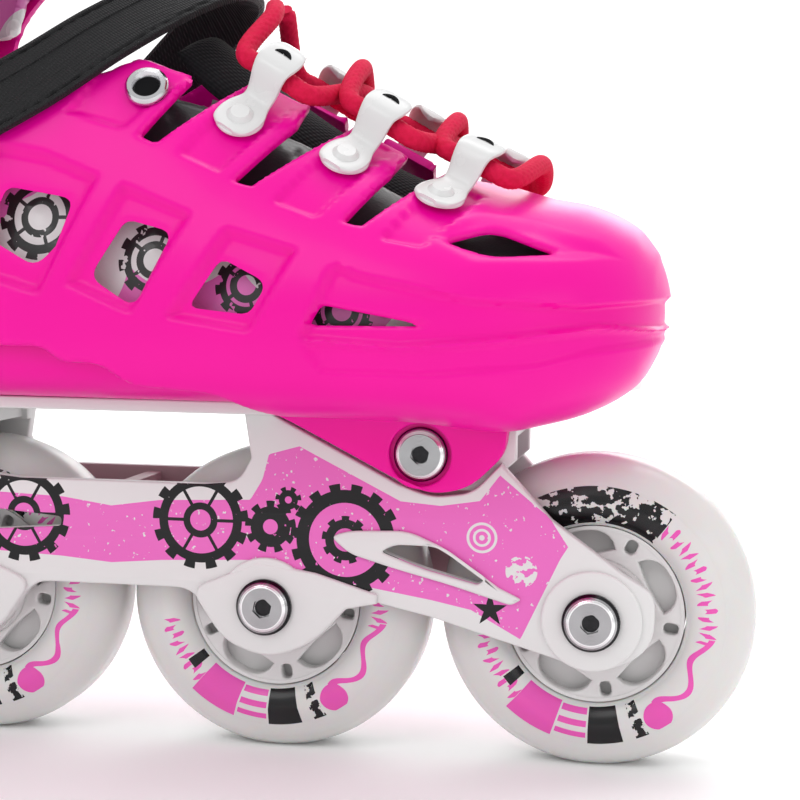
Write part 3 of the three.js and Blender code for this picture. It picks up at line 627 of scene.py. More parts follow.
def foot_skin(count=190):
    """The toe shell's outer surface, with its tip closed."""
    main = np.arange(TOE_REAR_X, NOSE_FROM, 1.25)
    bow = np.linspace(0, math.pi / 2, 74)
    xs = np.concatenate((main, NOSE_FROM + (TOE_TIP_X - NOSE_FROM) * np.sin(bow) * 0.99999))
    squeeze = np.clip((TOE_TIP_X - xs) / 3, 0, 1) ** 0.5
    half = along(xs, HALF_WIDTH) * nose(xs, TOE_TIP_X, NOSE_FROM)
    top = SHELL_MID_Z + (along(xs, TOP) - SHELL_MID_Z) * squeeze
    low = SHELL_MID_Z + (along(xs, BOTTOM) - SHELL_MID_Z) * squeeze
    return skinned(form_rings(xs, half, low, top, 4, count), cap_end=True)


def base_skin(count=130):
    """The base shell's outer surface, with its heel closed."""
    bow = np.linspace(math.pi / 2, 0, 40)
    main = np.arange(HEEL_FROM, 48, 1.8)
    xs = np.concatenate((HEEL_FROM + (HEEL_X - HEEL_FROM) * np.sin(bow) * 0.9999, main[1:]))
    half = (along(xs - 20, HALF_WIDTH) - BASE_OFFSET) * heel_slim(xs, HEEL_X)
    top = along(xs, TOP) - BASE_OFFSET
    return skinned(form_rings(xs, half, np.full(len(xs), 80.6), top, 4, count), cap_start=True)


def sock_skin(inset, floor, count=110):
    back, tip = HEEL_X - BASE_OFFSET + inset, TOE_TIP_X - inset
    bow = np.linspace(math.pi / 2, 0, 30)
    main = np.arange(HEEL_FROM, NOSE_FROM, 2.0)
    xs = np.concatenate((HEEL_FROM + (back - HEEL_FROM) * np.sin(bow) * 0.9999, main[1:],
                         NOSE_FROM + (tip - NOSE_FROM) * np.sin(np.linspace(0.01, math.pi / 2,
                                                                            36)) * 0.9999))
    half = (along(xs - 20, HALF_WIDTH) - inset) * heel_slim(xs, back) * nose(xs, tip, NOSE_FROM)
    top = np.maximum(along(xs + inset, TOP) - inset, SHELL_MID_Z + 1)
    return skinned(form_rings(xs, half, np.full(len(xs), floor), top, 7, count), True, True)


def cuff_point(z, out, turn):
    middle = along(z, [(120, -62), (160, -61), (200, -56), (262, -50)])
    long = along(z, [(120, 56), (160, 55), (200, 52), (262, 54)]) + out
    half = along(z, [(120, 41.8), (160, 41.8), (200, 42.5), (262, 45)]) + out
    c, s = np.cos(turn), np.sin(turn)
    return np.stack((middle + np.sign(c) * np.abs(c) ** 0.86 * long, np.sign(s) * np.abs(s) ** 0.86 * half,
                     z + 0 * turn), axis=-1)


def cuff_skin(out, z0, z1, count=150, step=1.8):
    zs = np.arange(z0, z1 + 0.1, step)
    turn = np.arange(count) / count * math.tau
    return skinned(np.array([cuff_point(z, out, turn) for z in zs]))


def crown_z(x, y):
    power = along(x, CROWN)
    share = np.clip(np.abs(y) / along(x, HALF_WIDTH), 0, 0.98) ** power
    return SHELL_MID_Z + (along(x, TOP) - SHELL_MID_Z) * (1 - share) ** (1 / power)


def on_shell(x, y):
    z = float(crown_z(x, y))
    dx = float(crown_z(x + 0.5, y) - crown_z(x - 0.5, y))
    dy = float(crown_z(x, y + 0.5) - crown_z(x, y - 0.5))
    return np.array((x, y, z)), np.array((-dx, -dy, 1.0)) / math.sqrt(dx * dx + dy * dy + 1)


# ---- The toe shell ----
TOE_SLOT = [(93.9, 117.2), (102.3, 119.9), (106, 119.3), (117, 115), (104.5, 114.2)]
WINDOWS = [[(-6, 117, 2), (-2, 128, 2), (13.8, 125.4, 3), (10.3, 115), (5.9, 110.6, 3)],
           [(26, 121.1, 2), (36.7, 118.5, 3), (28.8, 102.2, 3), (18.5, 108.6, 3)],
           [(47.7, 113.2, 2), (58.1, 108.1, 3), (54.3, 101.1, 2), (41, 102.5, 2)],
           [(69.8, 103.6, 1), (92.1, 99.3, 1), (67.4, 99.1, 1)],
           [(x, z, 2) for x, z in TOE_SLOT]]
FINGER_GAPS = [[(27.4, 138.6), (31, 137), (47, 150.4), (62, 172), (35, 172), (36.4, 151)],
               [(48.8, 129), (52.6, 128), (69, 140.4), (86, 160), (64, 160), (59.6, 141.4)],
               [(73, 120.7), (76.6, 119.8), (88.6, 130.2), (104, 148), (88, 148), (80.6, 131)]]
THROAT = [(-60, -17), (20, -18.6), (84, -18.6, 10), (99, -12, 12), (101, 0, 12), (99, 12, 12),
          (84, 18.6, 10),
          (20, 18.6), (-60, 17)]
TOE_LOWER = [(-60, 93.6), (8, 93.4, 2), (12.5, 90, 2), (21.2, 90, 3), (27.5, 85.2, 4), (46, 83.9, 3),
             (56, 78.6),
             (56, 60), (-60, 60)]
TOE_UPPER = [(-60, 124), (-12, 139.5, 6), (24.5, 156.8, 2), (38, 151.6), (38, 230), (-60, 230)]
BUTTON_SLOT = [(BUTTON[0] - TOE_TRAVEL - 5, 95.6), (-13, 95.6), (-13, 102.4),
               (BUTTON[0] - TOE_TRAVEL - 5, 102.4)]
# Moulded recesses: outline, depth, width of its soft edge.
RECESSES = [([(-20, 140), (7.3, 135), (20.1, 129.9), (8, 104), (-20, 112)], 1.9, 2.0),
            ([(24.7, 128.6), (41.5, 122.2), (29.1, 100.1), (13.2, 106.9)], 1.9, 2.0),
            ([(48.5, 119.6), (64.9, 115), (55.2, 96.9), (35.8, 99.8)], 1.9, 2.0),
            ([(71.8, 112.4), (77, 110.2), (100, 105.3), (122.6, 104), (145, 105.6), (145, 97),
              (126.1, 98.9),
              (104, 96.3), (86, 94.8), (65, 96.2)], 1.5, 1.3),
            ([(65, 96.2), (86, 94.8), (104, 96.3), (126, 98.9), (145, 98), (145, 96), (124.4, 93.6),
              (113.6, 90.8),
              (91.1, 88.7), (69.7, 89)], 0.8, 1.3),
            ([(88, 118.5), (100, 123), (112, 121.5), (125, 117), (130, 113), (118, 112.3), (100, 112)], 0.9,
             3.0),
            ([(10.4, 143.5), (23.7, 139.7), (29.4, 145.6), (37.3, 152), (20, 160)], 0.9, 0.8),
            ([(36.1, 134.5), (45.6, 130.3), (60, 147), (50, 154)], 0.9, 0.8),
            ([(57.5, 124.4), (67.3, 120.8), (80, 136), (71, 141)], 0.9, 0.8),
            ([(80.6, 116.7), (90, 115), (100, 126), (91, 131)], 0.9, 0.8)]


def toe_openness(v):
    x, y, z = v.T
    value = distance(x, y, trace(THROAT)) + np.where(z < 112, FAR, 0.0)
    for loop in WINDOWS + FINGER_GAPS:
        value = np.minimum(value, distance(x, z, trace(loop)) + np.where(np.abs(y) < 12, FAR, 0.0))
    value = np.minimum(value, distance(x, z, trace(TOE_LOWER)))
    value = np.minimum(value, distance(x, z, trace(TOE_UPPER)))
    value = np.minimum(value, np.where(y < 0, distance(x, z, trace(BUTTON_SLOT)), FAR))
    keel = np.maximum(np.abs(y) - 22.6, np.maximum(z - 81.4, x - 108))
    floor = np.maximum(np.abs(y) - 34, np.maximum(z - 90, x - 50))
    return np.minimum(np.minimum(value, keel), np.where(z > SHELL_MID_Z, FAR, floor))


def toe_relief(v):
    x, y, z = v.T
    depth = np.zeros(len(v))
    for loop, deep, soft in RECESSES:
        depth = np.maximum(depth, deep * smoothstep(-distance(x, z, trace(loop)) / soft))
    return depth


def make_toe_shell():
    paint = moulded("shell_gloss", PINK, 0.34, Specular_IOR_Level=0.2, Coat_Weight=0.04, Coat_Roughness=0.1)
    shape = shell(foot_skin(), toe_openness, toe_relief, SHELL_WALL)
    add_mesh("toe_shell_moulded", shape, paint, "toe_half", ["toe_shell"], sharp=50)
    return paint


HEEL_UPPER = [(-130, 155), (-74, 155, 8), (-68, 163, 5), (-52, 163, 5), (-44, 152, 8), (-22, 136, 6),
              (-10.5, 130, 3), (-10, 100, 4), (30, 97, 6), (60, 90), (60, 240), (-130, 240)]


def make_base_shell(paint):
    def openness(v):
        x, y, z = v.T
        bore = distance(x, z, circle(BUTTON[0], BUTTON[2], 3.4)) + np.where(y > 0, FAR, 0.0)
        edge = distance(x, z, trace(HEEL_UPPER))
        return np.minimum(np.minimum(edge, bore), distance(x, z, circle(PIVOT[0], PIVOT[2], 4.4)))

    def relief(v):
        x, y, z = v.T
        panel = trace([(-101, 98, 4), (-48, 98, 4), (-40, 118, 4), (-56, 134, 5), (-92, 138, 5),
                       (-104, 120, 5)])
        return 0.9 * smoothstep(-distance(x, z, panel) / 1.6) * (np.abs(y) > 12)

    shape = shell(base_skin(), openness, relief, SHELL_WALL)
    add_mesh("base_shell_moulded", shape, paint, "root", ["base_shell"], sharp=50)


def make_cuff(paint):
    lower = trace([(-130, 152), (-96, 146, 8), (-72, 138, 6), (-48, 138, 6), (-30, 157, 8), (20, 178),
                   (20, 100),
                   (-130, 100)])
    front = trace([(-34, 120), (-30, 170, 10), (-12, 182, 8), (-14, 222, 8), (-34, 250, 8), (-34, 270),
                   (40, 270),
                   (40, 120)])
    vents = [trace([(-92, 196 - k, 2), (-70, 200 - k, 2), (-72, 194 - k, 2),
                    (-92, 190 - k, 2)]) for k in (0, 12, 24)]

    def openness(v):
        x, y, z = v.T
        return np.minimum(np.minimum(distance(x, z, lower), distance(x, z, front)), 245.9 - z)

    def relief(v):
        x, y, z = v.T
        depth = np.zeros(len(v))
        for loop in vents:
            depth = np.maximum(depth, 1.5 * smoothstep(-distance(x, z, loop) / 1.2))
        collar_band = smoothstep((z - 226) / 1.5) * smoothstep((240 - z) / 1.5)
        spine = smoothstep((14 - np.abs(y)) / 2) * (x < -60) * smoothstep((216 - z) / 2)
        spine = spine * smoothstep((z - 158) / 2)
        depth = np.maximum(depth, np.maximum(0.6 * collar_band, 0.8 * spine))
        return depth

    shape = shell(cuff_skin(0, 138, 246), openness, relief, SHELL_WALL)
    add_mesh("cuff_moulded", shape, paint, "cuff_half", ["cuff"], sharp=50)


# ---- The liner and tongue ----
def make_liner():
    paint = Paint("liner_print", 0.35, Sheen_Weight=0.3, Coat_Weight=0.25)
    x, y, z = paint.xyz()
    cogs = cog(x, z, -34, 126, 11, 12, 1.6, 4, 6, 1.2, 8.5)
    for cx, cz, r in ((4, 121, 8), (31, 112, 7), (52, 107, 6), (73, 102, 6), (90, 103, 5), (14, 165, 9),
                      (-62, 216, 12), (-30, 246, 10)):
        cogs = cogs.most(cog(x, z, cx, cz, r, 10, r * 0.16, r * 0.35, 5, 1.0, r * 0.75))
    base = paint.mix((0.74, 0.72, 0.73), PINK_PRINT, paint.cells(34).above(0.6))
    base = paint.mix(base, BLACK, cogs * paint.noise(500, 3).above(0.36))
    base = paint.mix(base, (0.9, 0.88, 0.88), paint.noise(20).above(0.62))
    dark = (z + x * 0.32).above(139) * x.above(4)
    paint.colour(paint.mix(base, (0.008, 0.008, 0.01), dark))
    paint.bump(paint.noise(1500, 3), 0.06).bump(paint.noise(45, 2), 0.6)
    throat = trace([(-60, -17), (84, -16), (98, -10), (98, 10), (84, 16), (-60, 17)])
    top_edge = trace([(-130, 154), (-60, 158), (-18, 148), (24, 150), (38, 146), (38, 240), (-130, 240)])

    def openness(v):
        px, py, pz = v.T
        value = distance(px, py, throat) + np.where(pz < 105, FAR, 0.0)
        return np.minimum(value, distance(px, pz, top_edge))

    def quilt(v):
        px, py, pz = v.T
        away = np.hypot(px - BUTTON[0], pz - BUTTON[2])
        quilted = 0.5 * smoothstep(1 - np.abs((px * 0.8 + pz * 0.6) % 17 - 8.5) / 1.3)
        return quilted + 2.2 * smoothstep((8 - away) / 3) * (py < 0)

    foot = shell(sock_skin(6.3, 84.4), openness, quilt, 3.2, lip=1.5)
    low = add_mesh("liner_boot", foot, paint, "root", ["liner_foot"], sharp=60)
    front = trace([(-30, 120), (-26, 172, 10), (-16, 186, 8), (-18, 226, 8), (-30, 246, 8), (-34, 270),
                   (40, 270),
                   (40, 120)])
    below = trace([(-130, 166.5), (-30, 166.5), (20, 177), (20, 120), (-130, 120)])

    def collar_open(v):
        px, py, pz = v.T
        rise = 262 - 0.006 * (px + 40) ** 2 * 0.3 - pz
        return np.minimum(np.minimum(distance(px, pz, front), distance(px, pz, below)), rise)

    def collar_relief(v):
        px, py, pz = v.T
        seam = np.minimum(np.abs(pz - 248), np.abs(pz - 200 - 0.25 * px))
        return 0.9 * smoothstep(1 - seam / 1.6) - 0.5 * smoothstep((pz - 249) / 6)

    collar = shell(cuff_skin(-3.6, 165, 263), collar_open, collar_relief, 5.2, lip=2.4)
    high = add_mesh("liner_top", collar, paint, "cuff_half", ["liner_collar"], sharp=60)


def tongue_part(stations, count=40, per=9):
    """A padded strip through (x, z, half width, droop, thickness) stations."""
    st = np.array(stations, float)
    t = np.linspace(0, len(st) - 1, (len(st) - 1) * per + 1)
    val = [along(t, list(zip(range(len(st)), col))) for col in st.T]
    x, z, half, droop, thick = val
    dx, dz = np.gradient(x), np.gradient(z)
    size = np.hypot(dx, dz)
    out = np.stack((-dz / size, dx / size), axis=1)
    if out[len(out) // 2][0] < 0:
        out = -out
    rings = []
    a = np.arange(count) / count * math.tau
    end = np.clip(np.minimum(t, t[-1] - t) / 0.35, 0, 1)
    end = np.sqrt(1 - (1 - end) ** 2) * 0.75 + 0.25
    for i in range(len(t)):
        across = np.sign(np.cos(a)) * np.abs(np.cos(a)) ** 0.7 * half[i]
        up = np.sign(np.sin(a)) * np.abs(np.sin(a)) ** 0.8 * thick[i] / 2 * end[i]
        up = up - droop[i] * (across / half[i]) ** 2 - thick[i] / 2
        rings.append(np.stack((x[i] + out[i, 0] * up, across, z[i] + out[i, 1] * up), axis=1))
    return swept(rings)


def make_tongue():
    mesh = woven("tongue_mesh", (0.008, 0.008, 0.01), 1.5, 0.25)
    low = tongue_part([(96, 126, 9, 3, 4), (90, 127.6, 12, 4, 6), (76, 133.6, 12, 5, 7),
                       (62, 142.2, 12.5, 5, 7),
                       (50, 150.6, 13, 5, 7), (40, 158.5, 14, 5, 7), (33, 164, 13, 5, 5)])
    high = tongue_part([(12, 186, 15, 5, 6), (3, 196, 18, 6, 8), (-3, 212, 20, 7, 8), (-6, 230, 22, 7, 8),
                        (-6, 248, 22, 7, 8), (-3, 262, 21, 6, 7), (2, 269, 17, 5, 5)])
    for name, shape, body in (("tongue_low", low, "root"), ("tongue_high", high, "cuff_half")):
        node = {"tongue_low": "tongue_lower", "tongue_high": "tongue_upper"}[name]
        piece = add_mesh(name, shape, mesh, None, [node], sharp=60)
        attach(piece, body)


# ---- The chassis ----
RAIL_HALF = [(36, 61.8), (44, 62.6, 4), (46.8, 68), (45.2, 78), (51.5, 78), (57.6, 74.9), (80.4, 63.2),
             (88, 60.6, 3),
             (97, 61.8, 3), (103.2, 68.4), (114.4, 56.4), (130.1, 45.1), (137, 41, 3), (137, 29, 7),
             (126, 23, 7),
             (88, 33.9), (76, 36.5), (69, 35), (61, 26.5, 6), (51, 22.8, 6), (41, 26.5, 4), (33, 38, 4)]
SKIRT_HALF = [(48.9, 44.8), (62, 42.8), (76, 38.6), (76, 36.5), (69, 35), (61, 26.5, 6), (51, 22.8, 6),
              (41, 26.5, 4), (33, 38, 4)]
ARM_WINDOW = [(76.8, 48.2, 1), (80, 49.9, 2), (89.7, 49.8, 3), (100, 43, 1), (98.6, 41.7, 1),
              (85.9, 44.8, 3)]
WINDOW_RIM = [(65.2, 51.2, 2), (69.7, 52.6, 2), (82.7, 53.1, 3), (91.1, 49.6, 3), (103.3, 41.2),
              (108.3, 38.9, 1),
              (105.8, 37.5, 1), (92.4, 41.4, 3), (79.6, 44.6, 3), (69.8, 47.4, 2)]
MID_SLOT = [(-36, 52.2, 1), (-33, 53.6, 1), (-14, 54.4), (1.8, 53.1, 1), (1.8, 51, 1), (-14, 49.8)]
TOWER = [(45.6, 78), (106, 78), (106, 68.8), (99, 62.5), (92, 57), (80, 59), (70, 67.8), (58, 72.6),
         (45.6, 72.6)]
LUG = [(46.1, 81.2), (58.1, 75.7), (80.8, 64.2, 5), (88, 61.4, 6), (96.4, 63, 4), (104, 70.5, 3),
       (105.4, 81.2)]


def flipped(loop):
    return [(2 * FRAME_MID_X - c[0], *c[1:]) for c in loop][::-1]


def make_frame():
    paint = frame_paint()
    holes = [circle(x, z, 4.3) for x, _, z in AXLES] + [circle(x, z, 3.4) for x, _, z in BOLTS]
    rail = trace(RAIL_HALF + flipped(RAIL_HALF))
    windows = [trace(ARM_WINDOW), trace(flipped(ARM_WINDOW)), trace(MID_SLOT)]
    near = [plate(rail, -17, -13.6, holes[:4] + windows, 0.55)]
    for mirror in (lambda p: p, flipped):
        near.append(plate(trace(mirror(SKIRT_HALF)), -18.4, -16.6, [], 0.7))
        near.append(plate(trace(mirror(WINDOW_RIM)), -18.1, -16.8, [trace(mirror(ARM_WINDOW))], 0.6))
        near.append(plate(trace(mirror(TOWER)), -13.9, -10.6,
                          [holes[4] if mirror(TOWER) == TOWER else holes[5]], 0.4))
    for x, _, z in AXLES:
        near.append(plate(circle(x, z, 11), -18.2, -16.6, [circle(x, z, 4.3)], 0.6))
        near.append(moved(turned([(6.5, 0), (6.5, 1.8), (4.3, 1.8), (4.3, 0)]), (x, -13.8, z)))
    middle = [flat_plate(trace([(-98, -22.2, 4), (107.5, -22.2, 8), (107.5, 22.2, 8), (-98, 22.2, 4)]),
                         78.2, 81, [], 0.5)]
    for x0, x1 in ((47, 105), (-77, -19)):
        middle.append(flat_plate([(x0, -11), (x1, -11), (x1, 11), (x0, 11)], 73.2, 76.4, [], 0.3))
    middle.append(flat_plate([(12.2, -14), (15.8, -14), (15.8, 14), (12.2, 14)], 46, 60.5, [], 0.4))
    parts = joined(both_sides(joined(*near)), *middle)
    add_mesh("frame_moulded", parts, paint, "root", ["frame_chassis"], sharp=40)


def frame_paint():
    paint = Paint("frame_moulded", 0.34, Specular_IOR_Level=0.35)
    x, y, z = paint.xyz()
    mid = (x - FRAME_MID_X).size() + FRAME_MID_X
    outer = y.size().above(16.6) * y.size().below(17.35)
    grunge = paint.noise(900, 4).above(0.33)
    under = paint.ramp(mid, [(13, 43), (26, 44.1), (47, 45), (60.6, 42.2), (76.6, 39.6), (88, 37.8),
                             (97, 36), (108, 30),
                             (116.4, 48), (125, 62)], 20, 70)
    over = paint.ramp(mid, [(13, 56), (25.6, 57.8), (46.7, 58.6), (49.5, 63.2), (51, 69), (58, 71),
                            (73, 63.5), (81, 59.5),
                            (90, 58.8), (98.7, 60.2), (103, 66), (114, 57), (120, 48), (126, 40)], 20, 80)
    panel = z.above(under) * z.below(over) * outer * grunge
    colour = paint.mix(WHITE, PINK_PRINT, panel)
    ink = cog(mid, z, 35.1, 53.6, 9.7, 13, 1.5, 2.4, 6, 1.1, 7.6)
    for cx, cz, r, teeth, tooth, bore, spokes, rim in ((51.4, 52.7, 4.6, 9, 1.3, 1.7, 0, None),
                                                       (55.5, 58.9, 2.2, 7, 0.8, 0.8, 0, None),
                                                       (68.6, 50.4, 11.2, 15, 1.4, 4.0, 0, 8.3),
                                                       (68.6, 50.4, 4.6, 9, 0.8, 2.6, 0, None)):
        ink = ink.most(cog(mid, z, cx, cz, r, teeth, tooth, bore, spokes, 0.8, rim))
    sx, sz = mid - 101.2, z - 36.2
    point = ((sz.op("ARCTAN2", sx) - math.pi / 2) * (5 / math.tau) + 10.5).op("FRACT")
    star = (length2(sx, sz) * ((point - 0.5).size() * 3.4 + 1)).below(3.9)
    ink = ink.most(star) * outer * paint.noise(700, 4).above(0.3)
    colour = paint.mix(colour, BLACK, ink)
    ring = length2(mid - 99.2, z - 52.1)
    splash = ((ring - 1.7).size().below(0.28)).most((ring - 3.1).size().below(0.3)).most(ring.below(0.6))
    splash = splash.most(length2(mid - 108, z - 45).below(3.5) * paint.noise(420, 3).above(0.5))
    colour = paint.mix(colour, WHITE, splash * outer)
    # Between the rails and below z 62 the white is painted a dark pink: painted shade inside the frame.
    colour = paint.mix(colour, (0.35, 0.11, 0.16), y.above(-14) * y.below(14) * (z.below(62)) * 0.8)
    paint.colour(colour)
    paint.roughness(paint.noise(150, 4), 0.3, 0.45)
    paint.bump(paint.noise(1300, 2), 0.01).bump(paint.noise(60, 2), 0.05)
    return paint


def make_lugs():
    """The heel shell's pink side plates over the bolts, with their deep pockets."""
    shapes = []
    for centre, mirror in ((BOLTS[0], lambda p: p), (BOLTS[1], flipped)):
        pocket = circle(centre[0], centre[2], 6.9)
        shapes.append(plate(trace(mirror(LUG)), -16.9, -14.3, [circle(centre[0], centre[2], 3.4)], 0.4))
        shapes.append(plate(trace(mirror(LUG)), -18.9, -16.6, [pocket], 0.6))
    return both_sides(joined(*shapes))


# ---- Wheels, axles and bolts ----
def tyre_paint():
    paint = Paint("tyre_milky", 0.26, Specular_IOR_Level=0.35, Subsurface_Weight=0.35,
                  Subsurface_Scale=0.006, Transmission_Weight=0.12)
    x, y, z = paint.xyz()
    r = length2(x, z)
    angle = z.op("ARCTAN2", x) * (180 / math.pi)
    band = r.above(20.6) * r.below(28.8)
    grunge = paint.noise(520, 5).above(0.5)

    def arc(lo, hi):
        return angle.above(lo) * angle.below(hi)

    dark = arc(53, 120) * paint.noise(420, 5).above(0.44)
    dark = dark.most(arc(-92, -76)).most(arc(-144, -138) * r.below(24.5)).most(arc(-70, -64) * grunge)
    pink = (length2(x - 14.5, z + 21.5).below(3.2)).most(arc(-132, -109))
    wavy = (r - 24.8 + (angle * 0.9).sine()).size().below(1.2)
    ticks = (angle * (math.tau / 4.2)).sine().above(-0.2) * wavy
    pink = pink.most((arc(-12, 54).most(arc(-168, -131))) * ticks)
    pink = pink.most(arc(-108, -93) * ((r * 2.4).sine().above(0)))
    pink = pink.most(arc(-55, -9) * ((r - 24.6) + (angle * 0.21).sine() * 1.6).size().below(0.7))
    base = paint.mix((0.72, 0.715, 0.7), (0.79, 0.785, 0.775), paint.noise(60, 3))
    base = paint.mix(base, (0.85, 0.1, 0.5), band * pink)
    paint.colour(paint.mix(base, BLACK, band * dark))
    paint.bump(paint.noise(900, 3),
               0.02).bump((r - 20.6).size().below(0.35).most((r - 28.8).size().below(0.2)), 0.12)
    return paint


def hub_shape():
    """A hub with five leaf-shaped windows and five small slots between two rims."""
    rim = turned([(19.7, 8.9), (19.7, -8.9), (18.9, -8.9), (18.9, 8.9)], 96)
    core = turned([(12.6, 4.6), (12.2, 11.7), (11.15, 11.7), (11.15, 4.4), (9.2, 4.4), (9.2, -4.4),
                   (11.15, -4.4),
                   (11.15, -11.7), (12.2, -11.7), (12.6, -4.6)], 96)
    web = turned([(19.3, 4.2), (19.3, -4.2), (12, -4.2), (12, 4.2)], 96)
    windows = []
    for k in range(5):
        a = math.radians(27 + 72 * k)
        t = np.linspace(-1, 1, 15)
        lower = [(13.2 + 1.9 * u * u, 0.44 * u) for u in t]
        upper = [(18.7 - 3.4 * abs(u) ** 3.2, 0.44 * u) for u in t[::-1][1:-1]]
        windows.append(np.array([(r * math.cos(a + u), r * math.sin(a + u)) for r, u in lower + upper]))
        b = math.radians(63 + 72 * k)
        slot = trace([(15.3, -1.25, 1.2), (18.6, -1.25, 1.2), (18.6, 1.25, 1.2), (15.3, 1.25, 1.2)])
        windows.append(np.array([(u * math.cos(b) - v * math.sin(b), u * math.sin(b) + v * math.cos(b))
                                 for u, v in slot]))
    disc = plate(circle(0, 0, 19.5, 96), 5.2, 8.7, [circle(0, 0, 12.3, 64)] + windows, 0.45)
    back = plate(circle(0, 0, 19.5, 96), -8.7, -5.2, [circle(0, 0, 12.3, 64)] + windows, 0.45)
    return joined(rim, core, web, disc, back)


def make_wheels():
    tyre = turned([(35.17, 3), (34.6, 5.4), (33.3, 7.6), (31.4, 9.4), (29.2, 10.4), (27, 11.3), (25, 12),
                   (22.4, 11.1),
                   (20.2, 9.6), (20.0, 9.3), (20.0, -9.3), (20.2, -9.6), (22.4, -11.1), (25, -12),
                   (27, -11.3),
                   (29.2, -10.4), (31.4, -9.4), (33.3, -7.6), (34.6, -5.4), (35.17, -3)], 128)
    rubber = tyre_paint()
    plastic = moulded("hub_moulded", (0.75, 0.745, 0.74), 0.35)
    hub = hub_shape()
    for i, at in enumerate(AXLES, 1):
        add_mesh(f"tyre_cast_{i}", tyre, rubber, f"wheel_{i}", [f"tyre_{i}"], 40, at)
        add_mesh(f"hub_moulded_{i}", hub, plastic, f"wheel_{i}", [f"hub_{i}"], 40, at)


AXLE_HEAD_R = 6.35
AXLE_HEAD = 2.2
BOLT_HEAD_R = 6
BOLT_HEAD = 2.0
SHANK_R = 2.4


def hex_head(r, height, socket, depth=1.6):
    """A domed head with a bevelled rim and a hexagonal socket, facing -Y from y = 0."""
    dome = turned([(0.01, 0), (r, 0), (r, -height * 0.35), (r - 0.7, -height * 0.75), (r - 1.5, -height),
                   (0.01, -height)], 64)
    drill = plate(circle(0, 0, socket, 6, 0.3), -height - 1, -height + depth, [], 0.02)
    return combined(dome, [drill], "DIFFERENCE")


def add_bolt(name, node, at, r, height, socket, paint):
    """A bolt across the frame, with a hexagon socket in the head at each end."""
    lo, hi = (corner.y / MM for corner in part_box(node))
    head = hex_head(r, height, socket)
    shank = turned([(SHANK_R, lo + 1.2), (SHANK_R, hi - 1.2), (0.01, hi - 1.2), (0.01, lo + 1.2)], 32)
    shape = joined(moved(head, (0, lo + height, 0)), mirrored(moved(head, (0, height - hi, 0))), shank)
    add_mesh(name, shape, paint, "root", [node], 30, at)


def make_fasteners():
    chrome = metal("chrome", (0.42, 0.42, 0.43), 0.17, True, True)
    for i, (x, _, z) in enumerate(AXLES, 1):
        add_bolt(f"axle_bolt_{i}", f"axle_screw_{i}", (x, 0, z), AXLE_HEAD_R, AXLE_HEAD, 2.3, chrome)
    for (x, _, z), end in zip(BOLTS, ("front", "rear")):
        add_bolt(f"side_bolt_{end}", f"mount_bolt_{end}", (x, 0, z), BOLT_HEAD_R, BOLT_HEAD, 2.2, chrome)


# ---- Hooks, eyelets and lace ----
HOOKS = [(48.4, 28.6), (71.4, 28.6), (91.9, 28.8)]
LACE_R = 1.85
STRAND = 0.36
BRAID_PITCH = 4.4
LACE_STEP = 0.55


def hook_frame(i):
    x, y = HOOKS[i]
    point, out = on_shell(x, -y)
    run = np.array((0.5, 0.6, 0.62))
    run = run - out * np.dot(run, out)
    run /= np.linalg.norm(run)
    return point, run, np.cross(run, out), out


def swept(rows):
    """A closed body through rows of points."""
    rings = np.array(rows)
    n = rings.shape[1]
    faces = []
    for s in range(len(rings) - 1):
        for i in range(n):
            j = (i + 1) % n
            faces.append((s * n + i, s * n + j, (s + 1) * n + j, (s + 1) * n + i))
    faces.append(tuple(range(n))[::-1])
    faces.append(tuple((len(rings) - 1) * n + i for i in range(n)))
    return outward((rings.reshape(-1, 3), faces))


def hook_shape(i):
    """A figure-eight plate: a riveted round foot, a waist, and a lobe folded over the lace."""
    point, run, across, out = hook_frame(i)
    path = [(-6.4, 0.9), (-3, 0.8), (1, 0.8), (4.2, 1.3), (6, 3.2), (7.4, 6.4), (9, 7.9), (12, 8.2),
            (14.8, 7.9),
            (16.4, 6.8), (16.9, 5.0)]
    width = [(-6.4, 2.4), (-5.4, 4.2), (-2.5, 5.1), (0.5, 4.9), (4.2, 3.5), (7.4, 4.1), (10.5, 4.8),
             (13.6, 4.6),
             (16, 3.4), (17, 2.6)]
    t = np.linspace(0, len(path) - 1, 61)
    u = along(t, [(k, p[0]) for k, p in enumerate(path)])
    v = along(t, [(k, p[1]) for k, p in enumerate(path)])
    du, dv = np.gradient(u), np.gradient(v)
    size = np.hypot(du, dv)
    rows = []
    a = np.arange(20) / 20 * math.tau
    for k in range(len(t)):
        half = float(along(min(u[k], 17), width))
        if t[k] > 9.2:
            half *= math.sqrt(max(0.08, 1 - ((t[k] - 9.2) / 0.8) ** 2))
        c = np.sign(np.cos(a)) * np.abs(np.cos(a)) ** 0.5 * half
        s = np.sign(np.sin(a)) * np.abs(np.sin(a)) ** 0.6 * 0.75
        nu, nv = -dv[k] / size[k], du[k] / size[k]
        rows.append(point + run * u[k] + out * v[k] + across * c[:, None] + (run * nu + out * nv) * s[:, None])
    plate_part = swept(rows)

    def disc(r, low, high, centre, edge, count=40):
        ring = []
        b = np.arange(count) / count * math.tau
        for rr, h in ((0.05, low), (r, low), (r, high - edge), (r - edge, high), (0.05, high)):
            turn = run * np.cos(b)[:, None] + across * np.sin(b)[:, None]
            ring.append(point + run * centre + out * h + turn * rr)
        return swept(ring)

    b = np.arange(24) / 24 * math.tau
    arch = 0.9 * (1 - np.sin(b) ** 2)
    rings = []
    for k, h in ((0.05, 8.7), (1, 8.7), (1, 9.06), (0.05, 9.06)):
        forward = run * (12.2 + k * 0.6 * np.cos(b) + arch)[:, None]
        rings.append(point + forward + across * (2.2 * k * np.sin(b))[:, None] + out * h)
    slit = swept(rings)
    return joined(plate_part, disc(5.3, 0.1, 0.9, -1.6, 0.3), disc(2.9, 1.2, 2.5, -1.6, 0.9),
                  slit), len(slit[1])


